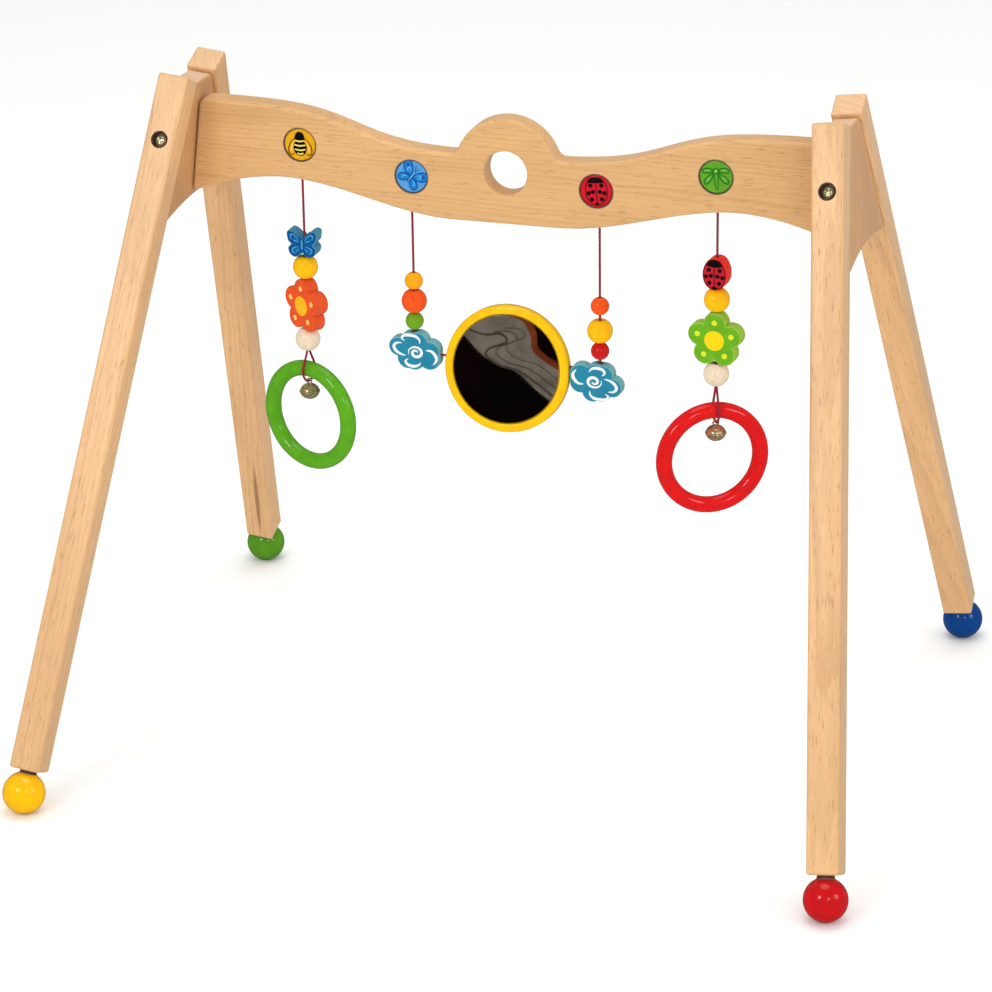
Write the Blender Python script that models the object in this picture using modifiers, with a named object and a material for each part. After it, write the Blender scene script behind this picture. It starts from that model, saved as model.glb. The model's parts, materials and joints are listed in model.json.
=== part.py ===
"""Wooden activity play gym: an A-shaped frame at each end, a wavy crossbar with a round
grip hole, two strings of beads with rings and jingle bells, and a mirror on two strings.
Metres, +Z up, +X along the bar, -Y towards the viewer, origin on the floor below the bar."""

import math

import bmesh
import bpy
from mathutils import Vector

MM = 0.001
GAP = 0.3 * MM  # between neighbours that touch

# Feet and legs
BALL_RADIUS = 15.0 * MM
FOOT_FLAT = 4.5 * MM  # radius of the flat that the ball stands on
BALL_HEIGHT = math.sqrt(BALL_RADIUS**2 - FOOT_FLAT**2)
FOOT_X = 285.4 * MM
FOOT_Y = 236.8 * MM
NECK_RADIUS = 6.0 * MM
PEG_RADIUS = 4.0 * MM
PEG_LENGTH = 18.0 * MM
SPLAY = math.radians(6.55)
LEAN = math.radians(24.4)
LEG_SIDE = 22.0 * MM
LEG_START = 16.3 * MM  # from the ball's centre to the end of the leg
LEG_LENGTH = 493.9 * MM
LEG_ROUND = 1.8 * MM

# End blocks, measured in the plane of the end frame from the ball centres
BLOCK_THICK = 18.0 * MM
BLOCK_TOP = 457.0 * MM
BLOCK_BOTTOM = 366.6 * MM
BLOCK_ARCH = 6.5 * MM
BLOCK_ROUND = 1.2 * MM
BLOCK_CORNER = 3.0 * MM
BLOCK_DOME = 0.6 * MM

# Screws
LEG_SCREW_AT = 464.0 * MM  # from the ball's centre, along the leg
LEG_SCREW_RADIUS = 2.5 * MM
LEG_SCREW_HEAD = 4.7 * MM
LEG_SCREW_HEAD_HIGH = 3.2 * MM
LEG_SCREW_LENGTH = 40.0 * MM
COUNTERBORE = 6.2 * MM
COUNTERBORE_DEEP = 6.0 * MM
DOWEL_HEIGHTS = {"upper": 434.5 * MM, "lower": 403.3 * MM}
DOWEL_RADIUS = 4.0 * MM
DOWEL_LENGTH = 47.0 * MM
CLEARANCE = 0.3 * MM
CUT_PAST = 20.0 * MM  # how far a cutter stands out of the face it enters
DOWEL_GAP = 0.15 * MM
RECESS_TURN = math.radians(17)

# Crossbar
BAR_THICK = 18.0 * MM
BAR_ROUND = 2.2 * MM
BAR_CREST = 456.6 * MM
BAR_VALLEY = 429.4 * MM
BAR_WAVE = 112.3 * MM  # where the top edge is half way up
BAR_WAVE_LONG = 19.4 * MM  # how gently it rises
BAR_BELLY = 382.0 * MM
BAR_SHOULDER = 403.3 * MM
BAR_UNDERWAVE = (36.0 * MM, 168.0 * MM)
BAR_DROOP_FROM = 160.0 * MM
BAR_DROOP = 3.0  # per metre, how fast the lower edge falls towards the ends
BAR_CORNER = 6.0 * MM
BUMP_HEIGHT = 420.6 * MM
BUMP_RADIUS = 36.8 * MM
BUMP_FILLET = 7.0 * MM
GRIP_HEIGHT = 418.8 * MM
GRIP_RADIUS = 15.5 * MM
GRIP_ROUND = 1.8 * MM

# Discs, and the stepped recess behind each
DISC_RADIUS = 11.5 * MM
DISC_THICK = 3.0 * MM
DISC_SET_BACK = 0.6 * MM
DISC_EDGE = 0.9 * MM
KNOT_LIFT = 1.3 * MM  # from the recess to the knot
SEAT_RADIUS = 12.5 * MM
SEAT_DEEP = 3.9 * MM
RECESS_RADIUS = 9.5 * MM
RECESS_DEEP = 12.2 * MM
OUTER_DISC = 428.0 * MM
INNER_DISC = 411.3 * MM
DISC_X = {
    "left_outer": -150.3 * MM,
    "left_inner": -68.3 * MM,
    "right_inner": 65.3 * MM,
    "right_outer": 149.7 * MM,
}
CORD_X = {
    "left_outer": -152.5 * MM,
    "left_inner": -71.3 * MM,
    "right_inner": 65.2 * MM,
    "right_outer": 148.9 * MM,
}

# Cords
CORD_RADIUS = 0.85 * MM
CORD_BORE = 1.6 * MM
KNOT_RADIUS = 2.7 * MM
BEND_HALF = 1.2 * MM  # half the length of the stretch that bends below the bar
PIVOT_BELOW = 1.8 * MM  # from the bar's edge down to the middle of that stretch
CORD_START = 2.2 * MM  # from there down to the hanging cord
LOOP_SPREAD = 1.1 * MM  # the two strands in the natural bead, either side of its middle
LOOP_WIDER = 0.1 * MM  # as they leave it

# Beads
ROUND_BEAD = (9.0 * MM, 8.1 * MM)  # radius and half height
SMALL_BEAD = (6.5 * MM, 6.2 * MM)
LOOP_BORE = 2.3 * MM
FLOWER_THICK = 10.5 * MM
FIGURE_THICK = 12.2 * MM
CLOUD_THICK = 9.0 * MM
PETAL_REACH = 11.7 * MM
PETAL_RADIUS = 8.3 * MM

# Rings and bells
RING_RADIUS = 35.2 * MM
RING_TUBE = 5.7 * MM
BELL_RADIUS = 7.1 * MM
BELL_HALF = 5.75 * MM
BELL_WALL = 0.6 * MM
EYE_RADIUS = 2.05 * MM
EYE_WIRE = 0.55 * MM
LOOP_SLACK = 1.5 * MM
PELLET_RADIUS = 2.0 * MM
BELL_SLOT = (9.2 * MM, 1.2 * MM, 5.0 * MM)
BELL_LIP = 0.35 * MM

# Mirror
MIRROR_X = -2.3 * MM
MIRROR_HEIGHT = 273.4 * MM
FRAME_RADIUS = 45.6 * MM
FRAME_DEPTH = 10.0 * MM
GLASS_RADIUS = 39.2 * MM
GLASS_THICK = 2.4 * MM
GLASS_SET_BACK = 0.5 * MM
LINK_HEIGHT = 278.5 * MM
MIRROR_TILT = math.radians(9)  # it hangs looking a little upwards
LINK_BORE = 1.3 * MM

COLOURS = {  # colour, roughness, metallic
    "wood": ((0.80, 0.60, 0.36), 0.45, 0.0),
    "natural": ((0.86, 0.74, 0.56), 0.55, 0.0),
    "yellow": ((0.95, 0.66, 0.02), 0.30, 0.0),
    "amber": ((0.92, 0.55, 0.03), 0.30, 0.0),
    "orange": ((0.88, 0.20, 0.03), 0.35, 0.0),
    "red": ((0.75, 0.02, 0.03), 0.30, 0.0),
    "green": ((0.22, 0.50, 0.06), 0.35, 0.0),
    "blue": ((0.02, 0.16, 0.45), 0.30, 0.0),
    "sky": ((0.05, 0.38, 0.70), 0.35, 0.0),
    "teal": ((0.08, 0.42, 0.55), 0.40, 0.0),
    "cord": ((0.35, 0.02, 0.06), 0.80, 0.0),
    "zinc": ((0.80, 0.76, 0.60), 0.30, 1.0),
    "nickel": ((0.72, 0.68, 0.58), 0.25, 1.0),
    "mirror": ((0.85, 0.85, 0.86), 0.04, 1.0),
}

for old in list(bpy.data.objects):
    bpy.data.objects.remove(old, do_unlink=True)

gym = bpy.data.collections.new("activity_gym")
bpy.context.scene.collection.children.link(gym)
cutters = bpy.data.collections.new("cutters")
bpy.context.scene.collection.children.link(cutters)


def material(name):
    """The material of that colour, made once."""
    found = bpy.data.materials.get(name)
    if found:
        return found
    colour, roughness, metallic = COLOURS[name]
    made = bpy.data.materials.new(name)
    made.use_nodes = True
    shader = made.node_tree.nodes["Principled BSDF"]
    shader.inputs["Base Color"].default_value = (*colour, 1.0)
    shader.inputs["Roughness"].default_value = roughness
    shader.inputs["Metallic"].default_value = metallic
    made.diffuse_color = (*colour, 1.0)
    return made


def place(obj, look, location=(0, 0, 0), rotation=(0, 0, 0), parent=None):
    """Give an object its collection, material, place and parent. No look makes it a cutter."""
    for collection in list(obj.users_collection):
        collection.objects.unlink(obj)
    (gym if look else cutters).objects.link(obj)
    obj.location = location
    obj.rotation_euler = rotation
    obj.parent = parent
    if look:
        obj.data.materials.clear()
        obj.data.materials.append(material(look))
    else:
        obj.hide_render = True
        obj.display_type = "WIRE"
    return obj


def pivot(name, location=(0, 0, 0), rotation=(0, 0, 0), parent=None):
    """An empty that carries the pieces placed on it."""
    empty = bpy.data.objects.new(name, None)
    cutters.objects.link(empty)
    empty.location = location
    empty.rotation_euler = rotation
    empty.parent = parent
    return empty


def soften(obj, degrees=35):
    """Smooth shading with sharp edges kept."""
    obj.data.shade_smooth()
    obj.data.set_sharp_from_angle(angle=math.radians(degrees))
    return obj


def box(name, size):
    """A box of that size, centred on its origin."""
    bpy.ops.mesh.primitive_cube_add(size=1)
    obj = bpy.context.object
    obj.name = name
    for vertex in obj.data.vertices:
        vertex.co = vertex.co * Vector(size)
    return obj


def rod(name, radius, low, high, sides=16):
    """A cylinder along Z from low to high."""
    bpy.ops.mesh.primitive_cylinder_add(vertices=sides, radius=radius, depth=high - low)
    obj = bpy.context.object
    obj.name = name
    for vertex in obj.data.vertices:
        vertex.co.z += (low + high) / 2
    return obj


def turned(name, profile, steps, closed=False):
    """A profile in the XZ plane turned round Z. It runs down the outer side."""
    mesh = bpy.data.meshes.new(name)
    shape = bmesh.new()
    points = [shape.verts.new((x, 0, z)) for x, z in profile]
    for first, second in zip(points, points[1:] + points[:1] if closed else points[1:]):
        shape.edges.new((first, second))
    shape.to_mesh(mesh)
    shape.free()
    obj = bpy.data.objects.new(name, mesh)
    bpy.context.scene.collection.objects.link(obj)
    screw = obj.modifiers.new("turn", "SCREW")
    screw.steps = steps
    screw.render_steps = steps
    screw.use_merge_vertices = True
    screw.merge_threshold = 0.00001
    screw.use_smooth_shade = True
    return obj


def plate(name, outline, thick, rounding=0.0, segments=1):
    """A flat outline in the XY plane, filled and given its thickness, with eased edges."""
    curve = bpy.data.curves.new(name, "CURVE")
    curve.dimensions = "2D"
    curve.fill_mode = "BOTH"
    curve.extrude = thick / 2
    spline = curve.splines.new("POLY")
    spline.points.add(len(outline) - 1)
    for point, (x, y) in zip(spline.points, outline):
        point.co = (x, y, 0, 1)
    spline.use_cyclic_u = True
    flat = bpy.data.objects.new(name + "_outline", curve)
    bpy.context.scene.collection.objects.link(flat)
    graph = bpy.context.evaluated_depsgraph_get()
    mesh = bpy.data.meshes.new_from_object(flat.evaluated_get(graph))
    bpy.data.objects.remove(flat)
    shape = bmesh.new()
    shape.from_mesh(mesh)
    bmesh.ops.remove_doubles(shape, verts=shape.verts, dist=0.000001)
    bmesh.ops.dissolve_limit(
        shape, angle_limit=math.radians(0.05), verts=shape.verts, edges=shape.edges
    )
    bmesh.ops.recalc_face_normals(shape, faces=shape.faces)
    shape.to_mesh(mesh)
    shape.free()
    obj = bpy.data.objects.new(name, mesh)
    bpy.context.scene.collection.objects.link(obj)
    if rounding:
        bevel = obj.modifiers.new("ease", "BEVEL")
        bevel.width = rounding
        bevel.segments = segments
        bevel.limit_method = "ANGLE"
        bevel.angle_limit = math.radians(60)
    return obj


def tube(name, points, look, parent=None):
    """A cord along the points."""
    curve = bpy.data.curves.new(name, "CURVE")
    curve.dimensions = "3D"
    curve.bevel_depth = CORD_RADIUS
    curve.bevel_resolution = 2
    curve.use_fill_caps = True
    spline = curve.splines.new("POLY")
    spline.points.add(len(points) - 1)
    for point, place_at in zip(spline.points, points):
        point.co = (*place_at, 1)
    obj = bpy.data.objects.new(name, curve)
    bpy.context.scene.collection.objects.link(obj)
    return place(obj, look, parent=parent)


def cut(obj, cutter, operation="DIFFERENCE"):
    """Cut, or join, with a Boolean."""
    modifier = obj.modifiers.new(cutter.name, "BOOLEAN")
    modifier.operation = operation
    modifier.solver = "EXACT"
    modifier.object = cutter
    return obj


def arc(centre, radius, start, stop, count):
    """Points on an arc, from start to stop in degrees, both included."""
    angles = [math.radians(start + (stop - start) * i / (count - 1)) for i in range(count)]
    return [(centre[0] + radius * math.cos(a), centre[1] + radius * math.sin(a)) for a in angles]


def smooth_step(value, low, high):
    """0 below low, 1 above high, and half a cosine wave between."""
    share = min(max((value - low) / (high - low), 0.0), 1.0)
    return (1 - math.cos(math.pi * share)) / 2


def curved(points, per):
    """A closed smooth line through the points, per steps between each two."""
    line = []
    for i in range(len(points)):
        a, b, c, d = (points[(i + k) % len(points)] for k in (-1, 0, 1, 2))
        for step in range(per):
            t = step / per
            line.append(
                tuple(
                    0.5
                    * (
                        2 * q
                        + (r - p) * t
                        + (2 * p - 5 * q + 4 * r - s) * t**2
                        + (3 * q - p - 3 * r + s) * t**3
                    )
                    for p, q, r, s in zip(a, b, c, d)
                )
            )
    return line


def lobed(circles, count):
    """The outline of overlapping circles, seen from their common middle."""
    line = []
    for i in range(count):
        angle = math.pi / 2 + 2 * math.pi * i / count
        reach = 0.0
        for x, y, radius in circles:
            along = x * math.cos(angle) + y * math.sin(angle)
            across = x * math.sin(angle) - y * math.cos(angle)
            if abs(across) < radius:
                reach = max(reach, along + math.sqrt(radius**2 - across**2))
        line.append((reach * math.cos(angle), reach * math.sin(angle)))
    return line


# ---------------------------------------------------------------- end frames

FLOOR = box("floor_cutter", (0.8, 0.8, 0.1))
place(FLOOR, None, location=(0, 0, -0.05))


def foot(name, look, parent):
    """A turned ball with its peg, standing on a small flat."""
    top = math.degrees(math.acos(NECK_RADIUS / BALL_RADIUS))
    profile = [(0, LEG_START + PEG_LENGTH), (PEG_RADIUS, LEG_START + PEG_LENGTH)]
    profile += [(PEG_RADIUS, LEG_START - GAP), (NECK_RADIUS, LEG_START - GAP)]
    profile += arc((0, 0), BALL_RADIUS, top, -90, 12)[:-1]
    profile.append((0, -BALL_RADIUS))
    obj = turned(name, profile, 20)
    cut(obj, FLOOR)
    return place(obj, look, parent=parent)


def screw(name, radius, head, head_high, length, look, location, rotation, parent):
    """A pan-head cross-recess screw: its head's seat is at the origin, its tip along -Z."""
    profile = [(0, head_high), (head * 0.55, head_high * 0.96), (head * 0.86, head_high * 0.72)]
    profile += [(head, head_high * 0.3), (head, 0), (radius, 0)]
    profile += [(radius, radius - length), (0, -length)]
    obj = turned(name, profile, 16)
    arm, half = head * 0.5, head * 0.12
    cross = []
    for turn in range(4):
        c, s = round(math.cos(turn * math.pi / 2)), round(math.sin(turn * math.pi / 2))
        for x, y in ((half, half), (arm, half), (arm, -half)):
            cross.append((x * c + y * s, x * s - y * c))
    recess = plate(name + "_recess", cross, head_high)
    holder = pivot(name + "_seat", location, rotation, parent)
    place(recess, None, (0, 0, head_high * 0.95), (0, 0, RECESS_TURN), holder)
    place(obj, look, parent=holder)
    return cut(obj, recess)


def leg(name, front, end, foot_look):
    """One leg with its foot and its screw. front is -1 for the front and 1 for the back."""
    holder = pivot(name + "_line", (0, front * FOOT_Y, 0), (front * LEAN, 0, 0), end)
    timber = box(name, (LEG_SIDE, LEG_SIDE, LEG_LENGTH))
    place(timber, "wood", (0, 0, LEG_START + LEG_LENGTH / 2), parent=holder)
    bevel = timber.modifiers.new("ease", "BEVEL")
    bevel.width = LEG_ROUND
    bevel.segments = 2
    socket = rod(
        name + "_socket",
        PEG_RADIUS + CLEARANCE,
        LEG_START - 0.01,
        LEG_START + PEG_LENGTH + CLEARANCE,
    )
    cut(timber, place(socket, None, parent=holder))
    outward = (-front * math.pi / 2, 0, 0)
    seat = (0, front * (LEG_SIDE / 2 - COUNTERBORE_DEEP), LEG_SCREW_AT)
    hole = turned(
        name + "_screw_hole",
        [
            (0, CUT_PAST),
            (COUNTERBORE, CUT_PAST),
            (COUNTERBORE, -GAP),
            (LEG_SCREW_RADIUS + CLEARANCE, -GAP),
            (LEG_SCREW_RADIUS + CLEARANCE, -LEG_SCREW_LENGTH - GAP),
            (0, -LEG_SCREW_LENGTH - GAP),
        ],
        24,
    )
    place(hole, None, seat, outward, holder)
    cut(timber, hole)
    screw(
        name + "_screw",
        LEG_SCREW_RADIUS,
        LEG_SCREW_HEAD,
        LEG_SCREW_HEAD_HIGH,
        LEG_SCREW_LENGTH,
        "zinc",
        seat,
        outward,
        holder,
    )
    foot(name.replace("leg", "foot"), foot_look, holder)
    return hole


def block_outline():
    """The end block: slanted sides along the legs, domed top, arched lower edge."""

    def half_width(height):
        inner = FOOT_Y - height * math.tan(LEAN) - LEG_SIDE / 2 / math.cos(LEAN)
        return inner - GAP / math.cos(LEAN)

    wide = half_width(BLOCK_BOTTOM)
    bottom = []
    for i in range(15):
        y = -wide + 2 * wide * i / 14
        bottom.append((y, BLOCK_BOTTOM + BLOCK_ARCH * math.cos(y / wide * math.pi / 2)))
    shoulder = BLOCK_TOP - BLOCK_CORNER
    edge = half_width(shoulder)
    right = [(edge, shoulder)]
    right.append((edge - 0.3 * BLOCK_CORNER, shoulder + 0.63 * BLOCK_CORNER))
    right.append((edge - BLOCK_CORNER, BLOCK_TOP))
    crown = [(0, BLOCK_TOP + BLOCK_DOME)]
    left = [(-y, z) for y, z in reversed(right)]
    return bottom + right + crown + left


def end_frame(side, sign, feet):
    """The two legs and the block of one end, splayed outwards."""
    end = pivot(side + "_end", (sign * FOOT_X, 0, BALL_HEIGHT), (0, -sign * SPLAY, 0))
    block = plate(side + "_end_block", block_outline(), BLOCK_THICK, BLOCK_ROUND, 1)
    place(block, "wood", rotation=(math.pi / 2, 0, math.pi / 2), parent=end)
    holes = []
    for row, front in (("front", -1), ("back", 1)):
        holes.append(leg(f"{row}_{side}_leg", front, end, feet[row]))
    outward = (0, sign * math.pi / 2, 0)
    for row, height in DOWEL_HEIGHTS.items():
        name = f"{side}_{row}_dowel"
        mouth = (sign * BLOCK_THICK / 2, 0, height)
        hole = rod(name + "_hole", DOWEL_RADIUS + DOWEL_GAP, -DOWEL_LENGTH - GAP, CUT_PAST)
        place(hole, None, mouth, outward, end)
        holes.append(hole)
        place(soften(rod(name, DOWEL_RADIUS, -DOWEL_LENGTH, 0)), "natural", mouth, outward, end)
    for hole in holes:
        cut(block, hole)
    return holes[2:]


left_holes = end_frame("left", -1, {"front": "yellow", "back": "green"})
right_holes = end_frame("right", 1, {"front": "red", "back": "blue"})

# ---------------------------------------------------------------- crossbar


def bar_end(height):
    """Half the bar's length at that height, a gap short of the splayed block."""
    inner = BLOCK_THICK / 2 + GAP
    return FOOT_X - inner / math.cos(SPLAY) - (height - BALL_HEIGHT) * math.tan(SPLAY)


def upper_edge(x):
    """The bar's upper edge, without the bump."""
    return BAR_VALLEY + (BAR_CREST - BAR_VALLEY) / (1 + math.exp((BAR_WAVE - x) / BAR_WAVE_LONG))


def lower_edge(x):
    """The bar's lower edge."""
    height = BAR_BELLY + (BAR_SHOULDER - BAR_BELLY) * smooth_step(x, *BAR_UNDERWAVE)
    return height - BAR_DROOP * max(x - BAR_DROOP_FROM, 0) ** 2


def bar_outline():
    """Right half of the outline from the bump's top down and round, and its mirror image."""
    reach = BUMP_RADIUS + BUMP_FILLET
    foot_of_bump = upper_edge(reach)
    rise = foot_of_bump + BUMP_FILLET - BUMP_HEIGHT
    meet = math.asin(rise / reach)
    half = arc((0, BUMP_HEIGHT), BUMP_RADIUS, 90, math.degrees(meet), 12)
    start = reach * math.cos(meet)
    fillet = (start, foot_of_bump + BUMP_FILLET)
    half += arc(fillet, BUMP_FILLET, 180 + math.degrees(meet), 270, 5)[1:]
    far = bar_end(BAR_CREST) - BAR_CORNER
    steps = 16
    for i in range(1, steps + 1):
        x = start + (far - start) * i / steps
        half.append((x, upper_edge(x)))
    half += arc((far, BAR_CREST - BAR_CORNER), BAR_CORNER, 90, 6.5, 5)[1:]
    low = lower_edge(bar_end(BAR_BELLY))
    ease = 2.6 * MM
    half.append((bar_end(low + ease), low + ease))
    half.append((bar_end(low) - ease, lower_edge(bar_end(low) - ease)))
    steps = 22
    for i in range(1, steps):
        x = (bar_end(low) - ease) * (1 - i / steps)
        half.append((x, lower_edge(x)))
    return half + [(0, lower_edge(0))] + [(-x, z) for x, z in reversed(half[1:])]


crossbar = plate("crossbar", bar_outline(), BAR_THICK, BAR_ROUND, 2)
place(crossbar, "wood", rotation=(math.pi / 2, 0, 0))
flare = [(0, CUT_PAST), (GRIP_RADIUS + GRIP_ROUND, CUT_PAST)]
flare.append((GRIP_RADIUS + GRIP_ROUND, BAR_THICK / 2))
flare.append((GRIP_RADIUS + GRIP_ROUND * 0.3, BAR_THICK / 2 - GRIP_ROUND * 0.3))
flare.append((GRIP_RADIUS, BAR_THICK / 2 - GRIP_ROUND))
grip = turned("grip_hole", flare + [(x, -z) for x, z in reversed(flare)], 32)
place(grip, None, (0, 0, GRIP_HEIGHT), (math.pi / 2, 0, 0))
cut(crossbar, grip)
for bar_hole in left_holes + right_holes:
    cut(crossbar, bar_hole)

STATIONS = {
    "left_outer": (OUTER_DISC, "bee_disc", "yellow"),
    "left_inner": (INNER_DISC, "butterfly_disc", "sky"),
    "right_inner": (INNER_DISC, "ladybird_disc", "red"),
    "right_outer": (OUTER_DISC, "dragonfly_disc", "green"),
}
for station, (disc_height, disc_name, disc_look) in STATIONS.items():
    x = DISC_X[station]
    cord_x = CORD_X[station]
    recess = turned(
        station + "_recess",
        [
            (0, CUT_PAST),
            (SEAT_RADIUS, CUT_PAST),
            (SEAT_RADIUS, -SEAT_DEEP),
            (RECESS_RADIUS, -SEAT_DEEP),
            (RECESS_RADIUS, -RECESS_DEEP),
            (0, -RECESS_DEEP),
        ],
        32,
    )
    place(recess, None, (x, -BAR_THICK / 2, disc_height), (math.pi / 2, 0, 0))
    cut(crossbar, recess)
    bore = rod(station + "_bore", CORD_BORE, -0.03, 0.0, 12)
    place(bore, None, (cord_x, 0, disc_height - RECESS_RADIUS + 1.5 * MM))
    cut(crossbar, bore)
    face = DISC_RADIUS - DISC_EDGE
    disc = turned(
        disc_name,
        [
            (0, DISC_THICK),
            (face, DISC_THICK),
            (DISC_RADIUS, DISC_THICK - DISC_EDGE),
            (DISC_RADIUS, 0),
            (0, 0),
        ],
        32,
    )
    back = -BAR_THICK / 2 + DISC_SET_BACK + DISC_THICK
    place(disc, disc_look, (x, back, disc_height), (math.pi / 2, 0, 0))
    knot_height = disc_height - RECESS_RADIUS + KNOT_RADIUS + KNOT_LIFT
    tail = lower_edge(abs(cord_x)) + GAP - knot_height
    ball = arc((0, 0), KNOT_RADIUS, 90, -73, 8)[1:]
    profile = [(0, KNOT_RADIUS), *ball, (CORD_RADIUS, -KNOT_RADIUS)]
    profile += [(CORD_RADIUS, tail), (0, tail)]
    knot = turned(station + "_cord_knot", profile, 12)
    place(knot, "cord", (cord_x, 0, knot_height))

# ---------------------------------------------------------------- beads


def bead(name, size, x, height, look, bore=CORD_BORE):
    """A turned bead with flat ends and a bore along Z."""
    radius, half = size
    tilt = math.degrees(math.asin(half / radius))
    profile = [(bore, half), *arc((0, 0), radius, tilt, -tilt, 9), (bore, -half)]
    obj = turned(name, profile, 18, closed=True)
    return place(obj, look, (x, 0, height))


def figure(name, outline, thick, x, height, turn, look, bore=CORD_BORE):
    """A flat figure bead, standing, with a bore from top to bottom."""
    obj = plate(name, outline, thick, 0.9 * MM, 1)
    place(obj, look, (x, 0, height), (math.pi / 2, 0, math.radians(turn)))
    hole = rod(name + "_bore", bore, -0.03, 0.03, 12)
    place(hole, None, (x, 0, height))
    return cut(obj, hole)


FLOWER = [
    (
        PETAL_REACH * math.cos(math.radians(90 + 72 * i)),
        PETAL_REACH * math.sin(math.radians(90 + 72 * i)),
        PETAL_RADIUS,
    )
    for i in range(5)
]
CLOUD = [
    (-12.0 * MM, 2.8 * MM, 7.2 * MM),
    (-3.5 * MM, 6.0 * MM, 8.0 * MM),
    (2.5 * MM, 7.0 * MM, 7.6 * MM),
    (11.2 * MM, 0.8 * MM, 7.8 * MM),
    (10.8 * MM, -4.6 * MM, 8.4 * MM),
    (-5.2 * MM, -5.6 * MM, 7.8 * MM),
    (-0.5 * MM, -5.8 * MM, 8.2 * MM),
]
WING = [
    (0, 5.6),
    (2.2, 6.2),
    (6.0, 9.6),
    (9.6, 11.2),
    (12.2, 9.4),
    (12.0, 5.4),
    (11.2, 2.2),
    (9.2, 0.0),
    (11.4, -3.0),
    (10.4, -7.6),
    (6.6, -10.4),
    (2.6, -9.4),
    (0, -7.0),
]
BUTTERFLY = [(x * 0.92 * MM, y * 0.92 * MM) for x, y in WING]
BUTTERFLY += [(-x, y) for x, y in reversed(BUTTERFLY[1:-1])]
LADYBIRD = [(0, 11.0), (4.6, 9.8), (7.9, 5.6), (9.3, 0.2), (8.4, -5.4), (5.2, -9.6), (0, -11.0)]
LADYBIRD = [(x * 0.94 * MM, y * 1.02 * MM) for x, y in LADYBIRD]
LADYBIRD += [(-x, y) for x, y in reversed(LADYBIRD[1:-1])]

LEFT_OUTER = CORD_X["left_outer"]
LEFT_INNER = CORD_X["left_inner"]
RIGHT_INNER = CORD_X["right_inner"]
RIGHT_OUTER = CORD_X["right_outer"]

# Left outer string, top to bottom
figure("butterfly_bead", curved(BUTTERFLY, 3), FIGURE_THICK, LEFT_OUTER, 353.6 * MM, 0, "sky")
bead("left_outer_round_bead", ROUND_BEAD, LEFT_OUTER, 335.5 * MM, "yellow")
PETALS = lobed(FLOWER, 50)
figure("orange_flower_bead", PETALS, FLOWER_THICK, LEFT_OUTER, 307.0 * MM, -33.5, "orange")
LEFT_NATURAL = 281.5 * MM
bead("left_outer_natural_bead", ROUND_BEAD, LEFT_OUTER, LEFT_NATURAL, "natural", LOOP_BORE)

# Left inner string
bead("left_inner_top_bead", SMALL_BEAD, LEFT_INNER, 332.2 * MM, "amber")
bead("left_inner_round_bead", ROUND_BEAD, LEFT_INNER, 317.3 * MM, "orange")
bead("left_inner_low_bead", SMALL_BEAD, LEFT_INNER, 302.4 * MM, "green")

# Right inner string
bead("right_inner_top_bead", SMALL_BEAD, RIGHT_INNER, 325.5 * MM, "orange")
bead("right_inner_round_bead", ROUND_BEAD, RIGHT_INNER, 307.3 * MM, "yellow")
bead("right_inner_low_bead", SMALL_BEAD, RIGHT_INNER, 292.5 * MM, "red")

# Right outer string
figure("ladybird_bead", curved(LADYBIRD, 3), FIGURE_THICK, RIGHT_OUTER, 357.5 * MM, -5, "red")
bead("right_outer_round_bead", ROUND_BEAD, RIGHT_OUTER, 337.8 * MM, "yellow")
figure("green_flower_bead", PETALS, FLOWER_THICK, RIGHT_OUTER, 309.3 * MM, -5, "green")
RIGHT_NATURAL = 283.6 * MM
bead("right_outer_natural_bead", ROUND_BEAD, RIGHT_OUTER, RIGHT_NATURAL, "natural", LOOP_BORE)

# ---------------------------------------------------------------- hanging cords


def bend(name, x, height):
    """The short stretch of cord that bends where it leaves the bar."""
    return tube(name, [(x, 0, height + BEND_HALF), (x, 0, height - BEND_HALF)], "cord")


OUTER_HANG = lower_edge(RIGHT_OUTER) - PIVOT_BELOW
INNER_HANG = lower_edge(RIGHT_INNER) - PIVOT_BELOW
bend("left_outer_cord_bend", LEFT_OUTER, OUTER_HANG)
bend("inner_cord_bend", LEFT_INNER, INNER_HANG)
bend("right_outer_cord_bend", RIGHT_OUTER, OUTER_HANG)


def looped_cord(name, x, natural, ring_height, turn):
    """A cord that runs down its beads, round the top of the ring and back up into the bead."""
    top = OUTER_HANG - CORD_START
    wide = RING_TUBE + CORD_RADIUS + 0.4 * MM
    deep = RING_TUBE + 2 * EYE_WIRE + CORD_RADIUS + LOOP_SLACK
    half = [(0, top), (0, natural + 12 * MM), (0, natural + 7.5 * MM)]
    half.append((LOOP_SPREAD, natural + 3 * MM))
    mouth = natural - ROUND_BEAD[1]
    leaving = LOOP_SPREAD + LOOP_WIDER
    half += [(LOOP_SPREAD, natural - 3 * MM), (leaving, mouth)]
    for i in range(1, 6):
        share = smooth_step(i / 6, 0, 1)
        across = leaving + (wide - leaving) * (0.55 * share + 0.45 * i / 6)
        half.append((across, mouth + (ring_height - mouth) * i / 6))
    down = []
    for i in range(13):
        angle = math.radians(180 * i / 12)
        down.append((wide * math.cos(angle), ring_height - deep * math.sin(angle)))
    back = [(-across, height) for across, height in reversed(half[4:])]
    points = []
    for across, height in half + down + back:
        angle = math.radians(turn) - math.pi / 2
        points.append((x + across * math.cos(angle), across * math.sin(angle), height))
    return tube(name, points, "cord")


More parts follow.
